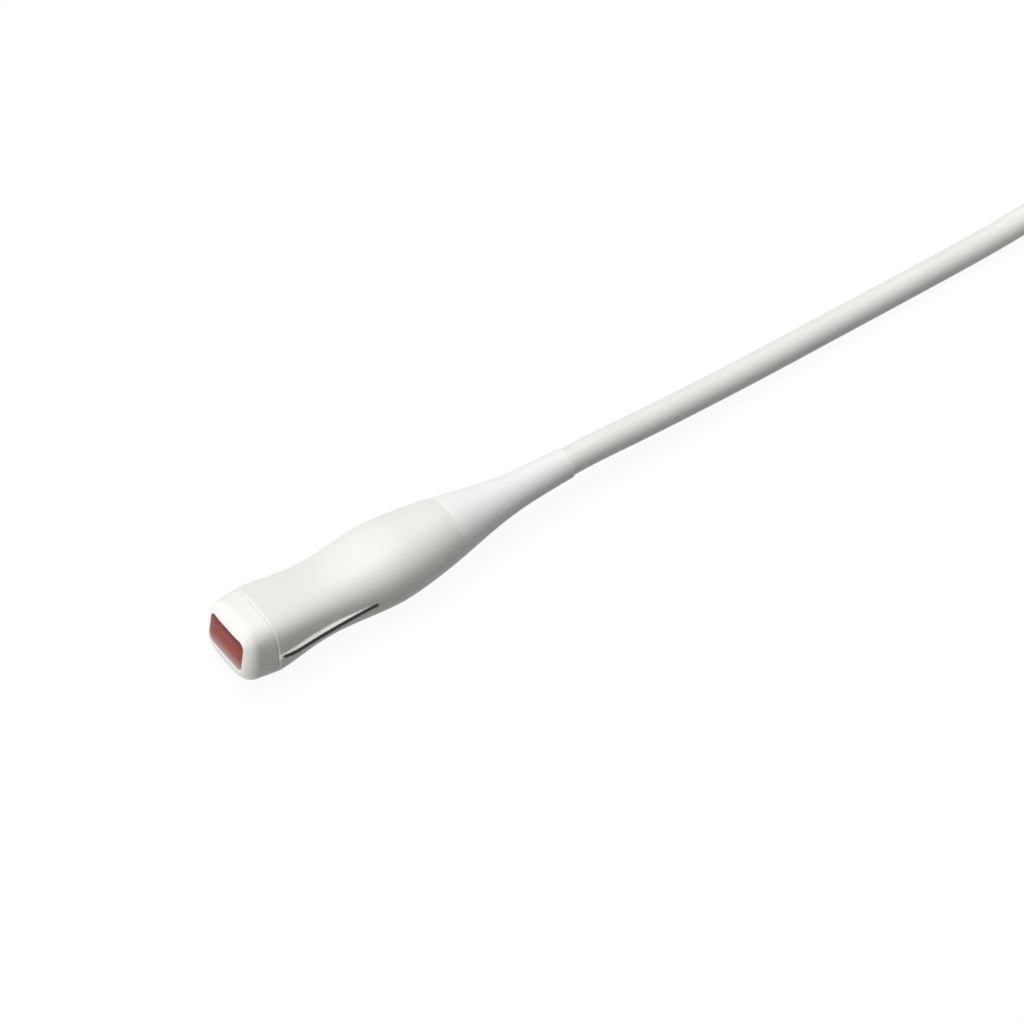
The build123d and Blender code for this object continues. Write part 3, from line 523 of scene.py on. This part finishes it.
def build_strip(work):
    """The marker's inlay: a thin band that follows the crest, with round ends and eased edges."""
    rings = []
    tip = [STRIP_HALF_HEIGHT * share for share in TIP_SHARES]
    length = STRIP_END - STRIP_START
    body = [length * i / STRIP_STEPS for i in range(2, STRIP_STEPS - 1)]
    for step in tip + body + [length - step for step in reversed(tip)]:
        place = STRIP_START + step
        left = 1 - min(step, length - step, STRIP_HALF_HEIGHT) / STRIP_HALF_HEIGHT
        half = STRIP_HALF_HEIGHT * math.sqrt(1 - left**2)
        ease = min(STRIP_EASE, half / 2)
        upper = ((STRIP_PROUD, half - ease), (0.0, half), (-STRIP_DEPTH, half))
        outline = [(out, -z) for out, z in reversed(upper)] + list(upper)
        rings.append([point(place, -(crest(place) + out), z) for out, z in outline])
    stack(work, rings, caps=True)


# Boot: the steps of its skin, then the places of its bore, chamber and spigot with their half sizes
BOOT_FIRST, BOOT_STEP, LIP_MARGIN = 0.6, 1.2, 2.0
BORE_PLACES = (PROBE_LENGTH, 126.0, 110.0, 93.2)
CHAMBER_PLACES, CHAMBER_RADIUS = (92.8, 81.4), 7.9
SPIGOT_PLACES, SPIGOT_SIZE = (81.4, HANDLE_END), (9.8, 9.4)


def build_boot(work):
    """The boot: its front edge, tapering skin and lip, then the bore, chamber and spigot inside."""
    cable = bpy.context.scene.probe_sizes.cable_diameter / 2 / MM
    places = [HANDLE_END + BOOT_EDGE[0] + BOOT_FIRST]
    while places[-1] < PROBE_LENGTH - LIP_MARGIN:
        places.append(places[-1] + BOOT_STEP)
    rings = edge_rings(HANDLE_END, BOOT_EDGE, 1)[::-1]
    rings += [skin_ring(x) for x in places]
    rings += edge_rings(PROBE_LENGTH, LIP_EDGE, -1)
    rings += [ring(x, cable, cable, CIRCLE, 0.0) for x in BORE_PLACES]
    rings += [ring(x, CHAMBER_RADIUS, CHAMBER_RADIUS, CIRCLE, 0.0) for x in CHAMBER_PLACES]
    rings += [ring(x, *SPIGOT_SIZE, REAR_FULLNESS, 0.0) for x in SPIGOT_PLACES]
    stack(work, rings, cyclic=True)


# Least sine or cosine of a ray, so that rays along an axis can be divided by it
FLAT = 1e-9


def rounded_rectangle(half_width, half_height, corner, across, up):
    """The point of a rounded rectangle on the ray from its centre through a point."""
    angle = math.atan2(up, across)
    c, s = max(abs(math.cos(angle)), FLAT), max(abs(math.sin(angle)), FLAT)
    reach = min(half_width / c, half_height / s)
    x, y = reach * c, reach * s
    cx, cy = half_width - corner, half_height - corner
    if x > cx and y > cy:
        along = c * cx + s * cy
        reach = along + math.sqrt(max(along**2 - (cx**2 + cy**2 - corner**2), 0.0))
        x, y = reach * c, reach * s
    return math.copysign(x, across), math.copysign(y, up)


# Nose: half sizes of its front and of its end at the seam, the lean and rounding of the front,
# how small its last ring is and how far before the seam its edge begins
FRONT_SIZE, END_SIZE = (12.42, 10.84), (13.32, 12.09)
NOSE_RISE, LENS_RISE = 1.3, 2.6
NOSE_ROUND, ROUND_STEPS = 4.6, 16
NOSE_LEAN = math.tan(math.radians(6.5))
NOSE_END, NOSE_EDGE = 0.996, (0.06, 0.1)
NOSE_STEP, ROUND_MARGIN = 0.6, 1.1
LOOP = section_loop(1.0, 1.0, SEAM_FULLNESS)

# Window of the lens: its gap, corners and eased edge, then its wall as growth and depth
WINDOW_GAP, LENS_CORNER, LEAST_CORNER, WINDOW_EASE = 0.05, 2.6, 0.3, 0.15
WINDOW_WALL = ((WINDOW_EASE, 0.0), (0.04, 0.05), (0.0, 0.2), (0.0, 1.6))
WINDOW_END = 6.0

# Spigot of the nose: half sizes inside and outside, and its end
BORE_SIZE, NECK_SIZE = (9.87, 8.64), (11.17, 9.94)
NECK_END = 15.4


def nose_skin(place, across, up):
    """A point of the nose's sides, as (across, up), between its front and the seam."""
    share = place / NOSE_LENGTH
    wide, high = (a + (b - a) * share for a, b in zip(FRONT_SIZE, END_SIZE))
    return wide * across, high * up + NOSE_RISE + (SEAM_RISE - NOSE_RISE) * share


def leaning(place, y, rise):
    """A point in metres, moved back as the leaning front of the nose asks at its height."""
    share = max(1 - place / NOSE_LENGTH, 0.0)
    return point(place + NOSE_LEAN * (rise - NOSE_RISE) * share, y, rise)


def window_edge(grow):
    """The edge of the lens's window, larger all round, one point for each point of a ring."""
    sizes = bpy.context.scene.probe_sizes
    half_width = sizes.lens_width / 2 / MM + WINDOW_GAP + grow
    half_height = sizes.lens_height / 2 / MM + WINDOW_GAP + grow
    corner = max(LENS_CORNER + WINDOW_GAP + grow, LEAST_CORNER)
    edge = []
    for across, up in LOOP:
        y, z = rounded_rectangle(half_width, half_height, corner, across * half_width, up * half_height)
        edge.append((y, z + LENS_RISE))
    return edge


def front_drops():
    """How far the rounded front has fallen back where it meets the window, round the ring."""
    drops = []
    for (across, up), (y, z) in zip(LOOP, window_edge(WINDOW_EASE)):
        side, top = nose_skin(0.0, across, up)
        gone = min(math.hypot(side - y, top - z) / NOSE_ROUND, 1.0)
        drops.append((gone, NOSE_ROUND * (1 - math.sqrt(1 - (1 - gone) ** 2))))
    return drops


def build_nose(work):
    """The nose: its sides from the seam, its rounded front, the lens's window and the spigot."""
    edge = window_edge(WINDOW_EASE)
    drops = front_drops()
    seam = [nose_skin(NOSE_LENGTH, *p) for p in LOOP]
    rings = [[point(NOSE_LENGTH, y * NOSE_END, z * NOSE_END) for y, z in seam]]
    places = [NOSE_LENGTH - back for back in NOSE_EDGE]
    while places[-1] > NOSE_ROUND + ROUND_MARGIN:
        places.append(places[-1] - NOSE_STEP)
    rings += [[leaning(place, *nose_skin(place, *p)) for p in LOOP] for place in places]
    for i in range(ROUND_STEPS + 1):
        rounded = []
        for p, target, (gone, _) in zip(LOOP, edge, drops):
            angle = math.acos(1 - gone) * i / ROUND_STEPS
            back = NOSE_ROUND * (1 - math.sin(angle))
            inset = NOSE_ROUND * (1 - math.cos(angle))
            y, z = nose_skin(back, *p)
            away = math.hypot(target[0] - y, target[1] - z)
            y += (target[0] - y) * inset / away
            z += (target[1] - z) * inset / away
            rounded.append(leaning(back, y, z))
        rings.append(rounded)
    for grow, depth in WINDOW_WALL:
        wall = zip(window_edge(grow), drops)
        rings.append([leaning(drop + depth, y, z) for (y, z), (_, drop) in wall])
    rings.append([point(WINDOW_END, y, z) for y, z in window_edge(0.0)])
    for size, places in ((BORE_SIZE, (NOSE_LENGTH, NECK_END)), (NECK_SIZE, (NECK_END, NOSE_LENGTH))):
        rings += [ring(place, *size, SEAM_FULLNESS, SEAM_RISE) for place in places]
    stack(work, rings, cyclic=True)


# Lens: how proud its middle is, its crown, its back, its sunk rim and edge, and the rings inwards
LENS_PROUD, LENS_CROWN, LENS_BACK = 0.12, 0.35, 2.18
RIM_SINK, RIM_EDGE, RIM_REACH = 0.1, 0.2, 2.4
LENS_SHRINKS = (0.06, 0.2, 0.4, 0.7, 1.0, 1.4, 1.8, 2.4, 3.2, 4.0, 4.8, 5.4)


def build_lens(work):
    """The lens: a pad that leans with the nose, a little crowned, its rim under the window's edge."""
    sizes = bpy.context.scene.probe_sizes
    half_height = sizes.lens_height / 2 / MM
    drops = front_drops()

    def rim(shrink):
        reach = smooth_step(0.0, RIM_REACH, shrink)
        loop = []
        for (y, z), (_, drop) in zip(window_edge(-WINDOW_GAP - shrink), drops):
            crown = -LENS_PROUD + LENS_CROWN * ((z - LENS_RISE) / half_height) ** 2
            loop.append(leaning(crown * reach + (drop + RIM_SINK) * (1 - reach), y, z))
        return loop

    rings = [[point(LENS_BACK, y, z) for y, z in window_edge(-WINDOW_GAP)]]
    rings.append([p + Vector((RIM_EDGE * MM, 0.0, 0.0)) for p in rim(0.0)])
    rings += [rim(shrink) for shrink in LENS_SHRINKS]
    stack(work, rings, caps=True)


# Cable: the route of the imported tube, then the turns of the hank and the lead to the connector
CABLE_ROUTE = (
    (120.0, 0.0, 12.0),
    (134.5, 0.0, 12.0),
    (146.0, 0.0, 12.0),
    (169.0, 0.2, 10.0),
    (212.0, 1.4, 6.7),
    (258.0, 2.5, 4.9),
    (306.0, 2.2, 4.9),
    (336.0, 2.5, 4.9),
    (363.0, 3.5, 6.1),
)
LEAD_ROUTE = (
    (533.0, 3.5, 35.5),
    (567.0, 3.5, 35.5),
    (619.0, -6.0, 12.0),
    (641.0, -6.0, 12.0),
    (667.0, -6.0, 12.0),
)
HANK_START, HANK_END = 386.0, 533.0
HANK_SIDE, HANK_FOLD = -26.0, 29.5
HANK_TURNS = 3
HANK_BASE = 6.1
CABLE = 9.8
FOLD_POINTS, CLIMB_END = 6, 0.66
NEAR_RUN, FAR_RUN = HANK_SIDE + HANK_FOLD, HANK_SIDE - HANK_FOLD
HANK_MIDDLE = (HANK_START + HANK_END) / 2


def hank_fold(end, direction, level, climb):
    """Points round a fold at one end of the hank, climbing to the next turn."""
    reach = direction * HANK_FOLD / math.cos(math.pi / FOLD_POINTS / 2)
    points = []
    for i in range(FOLD_POINTS):
        share = (i + 0.5) / FOLD_POINTS
        x = end + reach * math.sin(math.pi * share)
        y = HANK_SIDE + reach * math.cos(math.pi * share)
        points.append((x, y, level + climb * smooth_step(0.0, CLIMB_END, share)))
    return points


def hank_points():
    """Turns of the hank, each a cable's width above the one under it."""
    points = []
    for turn in range(HANK_TURNS):
        level = HANK_BASE + turn * CABLE
        points += [(x, NEAR_RUN, level) for x in (HANK_START, HANK_MIDDLE, HANK_END)]
        points += hank_fold(HANK_END, 1, level, 0.0)
        points += [(x, FAR_RUN, level) for x in (HANK_END, HANK_MIDDLE, HANK_START)]
        points += hank_fold(HANK_START, -1, level, CABLE)
    top = HANK_BASE + HANK_TURNS * CABLE
    return points + [(x, NEAR_RUN, top) for x in (HANK_START, HANK_MIDDLE)]


def build_cable():
    """The cable as one curve with a round section, from inside the boot to the connector."""
    sizes = bpy.context.scene.probe_sizes
    curve = bpy.data.curves.new("cable", "CURVE")
    curve.dimensions = "3D"
    curve.resolution_u = 10
    curve.bevel_depth = sizes.cable_diameter / 2
    curve.bevel_resolution = 9
    curve.use_fill_caps = True
    route = list(CABLE_ROUTE) + hank_points() + list(LEAD_ROUTE)
    spline = curve.splines.new("NURBS")
    spline.points.add(len(route) - 1)
    for control, (place, y, z) in zip(spline.points, route):
        control.co = ((FRONT_X + place) * MM, y * MM, z * MM, 1.0)
    spline.order_u = 3
    spline.use_endpoint_u = True
    cable = bpy.data.objects.new("cable_jacket", curve)
    bpy.context.scene.collection.objects.link(cable)
    return cable


# Straps of the hank: half width, thickness, eased edge along and out, and steps round
TIE_HALF_WIDTH, TIE_THICKNESS = 6.0, 1.2
TIE_EASE_ALONG, TIE_EASE_OUT = 0.2, 0.15
TIE_STEPS = 48


def tie_section():
    """The strap's section as (along, out), with eased edges."""
    wide, thick = TIE_HALF_WIDTH, TIE_THICKNESS
    flat = wide - TIE_EASE_ALONG
    half = [(flat, 0.0), (wide, TIE_EASE_OUT), (wide, thick - TIE_EASE_OUT), (flat, thick)]
    return half + [(-along, out) for along, out in reversed(half)]


def build_tie(work):
    """A strap round each side of the hank: flat, with round corners and eased edges."""
    for side, levels in ((NEAR_RUN, HANK_TURNS + 1), (FAR_RUN, HANK_TURNS)):
        high = HANK_BASE + (levels - 1) * CABLE
        rings = []
        for i in range(TIE_STEPS):
            angle = 2 * math.pi * (i + 0.5) / TIE_STEPS
            c, s = math.cos(angle), math.sin(angle)
            centre = high if s > 0 else HANK_BASE
            loop = []
            for along, out in tie_section():
                reach = CABLE / 2 + out
                loop.append(point(HANK_MIDDLE + along, side + c * reach, centre + s * reach - AXIS_Z))
            rings.append(loop)
        stack(work, rings, cyclic=True)


# Operators


class PROBE_OT_cable(bpy.types.Operator):
    """Lays the cable from the boot to the connector, with its unseen length in a tied hank"""

    bl_idname = "probe.cable"
    bl_label = "Cable"

    def execute(self, context):
        sizes, colours = context.scene.probe_sizes, context.scene.probe_colours
        cable = build_cable()
        cable.data.materials.append(jacket_skin("cable jacket", colours.jacket))
        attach(cable, "root")
        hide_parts("cable_end", "cable", "cable_hank", "cable_lead")
        tie_finish = moulded_plastic("tie strap", (0.05, 0.05, 0.05), roughness=0.6, grain=0.2)
        ties = new_piece("hank_ties", build_tie, tie_finish, "tie_black", "cable_ties")
        point(PROBE_LENGTH, 0.0, 0.0)
        return {"FINISHED"}


class PROBE_OT_nose(bpy.types.Operator):
    """Moulds the nose cap and sets the lens in it"""

    bl_idname = "probe.nose"
    bl_label = "Nose and lens"

    def execute(self, context):
        colours = context.scene.probe_colours
        plastic = moulded_plastic("white plastic, nose", colours.plastic)
        new_piece("nose_moulding", build_nose, plastic, "white_plastic", "nose_cap")
        # The lens's colour holds a painted reflection along its lower edge and painted shade along its
        # upper rim.
        silicone = lens_silicone("lens silicone", colours.lens, colours.lens_painted_reflection)
        new_piece("lens_pad", build_lens, silicone, "lens_silicone", "acoustic_lens")
        return {"FINISHED"}


class PROBE_OT_handle(bpy.types.Operator):
    """Moulds the handle with its marker rib and inlay"""

    bl_idname = "probe.handle"
    bl_label = "Handle and marker"

    def execute(self, context):
        colours = context.scene.probe_colours
        plastic = moulded_plastic("white plastic, handle", colours.plastic)
        new_piece("handle_moulding", build_handle, plastic, "white_plastic", "handle_sleeve")
        inlay = moulded_plastic("marker inlay", colours.marker, roughness=0.5, grain=0.15)
        new_piece("marker_inlay", build_strip, inlay, "marker_black", "marker_strip")
        return {"FINISHED"}


class PROBE_OT_boot(bpy.types.Operator):
    """Moulds the strain-relief boot"""

    bl_idname = "probe.boot"
    bl_label = "Boot"

    def execute(self, context):
        colours = context.scene.probe_colours
        soft = moulded_plastic("white elastomer", colours.boot, roughness=0.46, grain=0.06)
        new_piece("boot_moulding", build_boot, soft, "boot_white", "strain_relief_boot")
        return {"FINISHED"}


# Colours of pieces that the handle and the connector hide
BOARD_GREEN, LEAD_BROWN = (0.01, 0.09, 0.035), (0.3, 0.1, 0.09)
SCREW_STEEL, BLACK = (0.6, 0.6, 0.61), (0.03, 0.03, 0.03)
LEADS = {"roughness": 0.45, "grain": 0.1}


def dress(finish, *names):
    """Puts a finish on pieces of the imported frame."""
    for name in names:
        NODES[name].data.materials.clear()
        NODES[name].data.materials.append(finish)


class PROBE_OT_inside(bpy.types.Operator):
    """Gives the pieces inside the handle their finishes"""

    bl_idname = "probe.inside"
    bl_label = "Inner pieces"

    def execute(self, context):
        rubber = moulded_plastic("seal rubber", BLACK, roughness=0.6, grain=0.1)
        dress(rubber, "nose_seal", "rear_seal")
        resin = moulded_plastic("matching resin", (0.2, 0.17, 0.13), roughness=0.5, grain=0.1)
        dress(resin, "outer_matching_layer", "inner_matching_layer")
        ceramic = moulded_plastic("piezo ceramic", (0.5, 0.42, 0.28), roughness=0.7, grain=0.15)
        dress(ceramic, "piezo_array")
        backing = moulded_plastic("backing resin", (0.04, 0.035, 0.035), roughness=0.7, grain=0.2)
        dress(backing, "backing_block")
        alloy = brushed_metal("frame alloy", (0.72, 0.73, 0.74))
        dress(alloy, "array_frame", "rear_bulkhead", "cable_clamp")
        film = moulded_plastic("flex film", (0.5, 0.2, 0.03), roughness=0.3, grain=0.02, coat=0.4)
        dress(film, "upper_flex", "lower_flex")
        dress(board_mask("board mask", BOARD_GREEN), "upper_board", "lower_board")
        socket = moulded_plastic("socket", (0.62, 0.55, 0.4), roughness=0.5, grain=0.1)
        dress(socket, "flex_sockets", "coax_headers")
        steel = brushed_metal("screw steel", SCREW_STEEL)
        dress(steel, "board_spacers", "board_screws", "board_nuts", "clamp_screws", "flange_screws")
        dress(brushed_metal("shield tin", (0.7, 0.7, 0.68), roughness=0.4), "emi_shield")
        dress(moulded_plastic("coax leads", LEAD_BROWN, **LEADS), "coax_bundle")
        return {"FINISHED"}


class PROBE_OT_connector(bpy.types.Operator):
    """Gives the connector its finishes"""

    bl_idname = "probe.connector"
    bl_label = "Connector"

    def execute(self, context):
        colours = context.scene.probe_colours
        housing = moulded_plastic("connector plastic", colours.connector, roughness=0.5, grain=0.2)
        dress(housing, "connector_housing_lower", "connector_housing_upper")
        darker = rgba(colours.connector, 0.9)
        boot = moulded_plastic("connector boot", darker, roughness=0.55, grain=0.1)
        dress(boot, "connector_boot")
        dress(brushed_metal("plug shell", (0.55, 0.55, 0.54), roughness=0.34), "connector_shell")
        dress(brushed_metal("housing screws", SCREW_STEEL), "connector_screws")
        insulator = moulded_plastic("insulator", BLACK, roughness=0.5, grain=0.1)
        dress(insulator, "connector_insert")
        dress(brushed_metal("gilt contacts", (0.9, 0.66, 0.25), roughness=0.2), "contact_pins")
        dress(board_mask("connector board", BOARD_GREEN), "connector_board")
        dress(moulded_plastic("fanned leads", LEAD_BROWN, **LEADS), "connector_coax")
        return {"FINISHED"}


# Camera of the photograph, measured from the nose's front on the axis
CAMERA_AZIMUTH, CAMERA_ELEVATION = math.radians(-36.65), math.radians(47.30)
CAMERA_OFFSET = (90.13, 42.73, 979.2)
CAMERA_LENS, CAMERA_SENSOR = 109.35, 36.0
CAMERA_FAR = 20.0

# Stage: the floor's reach and depth under the part, its tone to the object and its own light
FLOOR_REACH, FLOOR_DROP = 6.0, 0.0002
PAPER, WHITE = (0.3, 0.3, 0.295, 1.0), (1.0, 1.0, 1.0, 1.0)
FLOOR_GLOW = 0.94
AMBIENT = 0.17

# Lamps: name, direction from the middle, distance, size and power
LAMPS = (
    ("key", (0.0, 0.16, 0.95), 2.2, 1.8, 49.0),
    ("fill", (-0.95, 0.04, 0.09), 1.6, 0.3, 13.0),
)


def studio_camera():
    """Sets the camera where the photograph was taken from."""
    az, el = CAMERA_AZIMUTH, CAMERA_ELEVATION
    right = Vector((math.cos(az), math.sin(az), 0.0))
    back = Vector((math.sin(az) * math.cos(el), -math.cos(az) * math.cos(el), math.sin(el)))
    up = back.cross(right)
    across, rise, away = CAMERA_OFFSET
    eye = point(0.0, 0.0, 0.0) + (right * across + up * rise + back * away) * MM
    turn = Matrix((right, up, back)).transposed().to_4x4()
    data = bpy.data.cameras.new("photo camera")
    data.lens = CAMERA_LENS
    data.sensor_width = CAMERA_SENSOR
    data.clip_end = CAMERA_FAR
    camera = bpy.data.objects.new("photo camera", data)
    camera.matrix_world = Matrix.Translation(eye) @ turn
    bpy.context.scene.collection.objects.link(camera)
    bpy.context.scene.camera = camera


def floor_finish():
    """A pale floor that the camera sees as white paper, with the object's faint shadow."""
    finish = Finish("studio floor")
    rays = ("Is Camera Ray", "Is Glossy Ray", "Is Transmission Ray")
    seen = [finish.node("ShaderNodeLightPath", output=name) for name in rays]
    share = finish.math("MAXIMUM", finish.math("MAXIMUM", seen[0], seen[1]), seen[2])
    paper = finish.node("ShaderNodeBsdfDiffuse", None, {"Color": PAPER})
    white = finish.node("ShaderNodeBsdfDiffuse", None, {"Color": WHITE})
    glow = finish.node("ShaderNodeEmission", None, {"Color": WHITE, "Strength": 1.0})
    sheet = finish.node("ShaderNodeMixShader", None, {0: FLOOR_GLOW, 1: white, 2: glow})
    finish.end(finish.node("ShaderNodeMixShader", None, {0: share, 1: paper, 2: sheet}))
    return finish.material


class PROBE_OT_stage(bpy.types.Operator):
    """Sets up the floor, the soft light and the photograph's camera"""

    bl_idname = "probe.stage"
    bl_label = "Stage"

    def execute(self, context):
        scene = context.scene
        mesh = bpy.data.meshes.new("studio_floor")
        corners = ((-1, -1), (1, -1), (1, 1), (-1, 1))
        floor_corners = [(x * FLOOR_REACH, y * FLOOR_REACH, -FLOOR_DROP) for x, y in corners]
        mesh.from_pydata(floor_corners, [], [(0, 1, 2, 3)])
        floor = bpy.data.objects.new("studio_floor", mesh)
        mesh.materials.append(floor_finish())
        scene.collection.objects.link(floor)

        world = bpy.data.worlds.new("studio")
        scene.world = world
        world.use_nodes = True
        tree = world.node_tree
        tree.nodes.clear()
        rays = tree.nodes.new("ShaderNodeLightPath")
        ambient = tree.nodes.new("ShaderNodeBackground")
        ambient.inputs["Strength"].default_value = AMBIENT
        white = tree.nodes.new("ShaderNodeBackground")
        white.inputs["Color"].default_value = WHITE
        both = tree.nodes.new("ShaderNodeMixShader")
        end = tree.nodes.new("ShaderNodeOutputWorld")
        tree.links.new(rays.outputs["Is Camera Ray"], both.inputs[0])
        tree.links.new(ambient.outputs[0], both.inputs[1])
        tree.links.new(white.outputs[0], both.inputs[2])
        tree.links.new(both.outputs[0], end.inputs["Surface"])

        for name, direction, distance, size, power in LAMPS:
            lamp = bpy.data.lights.new(name, "AREA")
            lamp.shape = "DISK"
            lamp.size = size
            lamp.energy = power
            light = bpy.data.objects.new(name, lamp)
            aim = Vector(direction).normalized()
            light.location = aim * distance
            light.rotation_euler = aim.to_track_quat("Z", "Y").to_euler()
            scene.collection.objects.link(light)

        studio_camera()
        scene.view_settings.view_transform = "Standard"
        return {"FINISHED"}


STEPS = (
    PROBE_OT_cable,
    PROBE_OT_nose,
    PROBE_OT_handle,
    PROBE_OT_boot,
    PROBE_OT_inside,
    PROBE_OT_connector,
    PROBE_OT_stage,
)


class PROBE_PT_panel(bpy.types.Panel):
    """Lists the steps that build the probe"""

    bl_idname = "PROBE_PT_panel"
    bl_label = "Ultrasound probe"
    bl_space_type = "VIEW_3D"
    bl_region_type = "UI"
    bl_category = "Probe"

    def draw(self, context):
        for group in (context.scene.probe_sizes, context.scene.probe_colours):
            for name in group.__annotations__:
                self.layout.prop(group, name)
        for step in STEPS:
            self.layout.operator(step.bl_idname)


CLASSES = (ProbeSizes, ProbeColours) + STEPS + (PROBE_PT_panel,)


def register():
    for kind in CLASSES:
        bpy.utils.register_class(kind)
    bpy.types.Scene.probe_sizes = bpy.props.PointerProperty(type=ProbeSizes)
    bpy.types.Scene.probe_colours = bpy.props.PointerProperty(type=ProbeColours)


def unregister():
    del bpy.types.Scene.probe_colours
    del bpy.types.Scene.probe_sizes
    for kind in reversed(CLASSES):
        bpy.utils.unregister_class(kind)


def main():
    register()
    for step in STEPS:
        group, name = step.bl_idname.split(".")
        getattr(getattr(bpy.ops, group), name)()


if __name__ == "__main__":
    main()
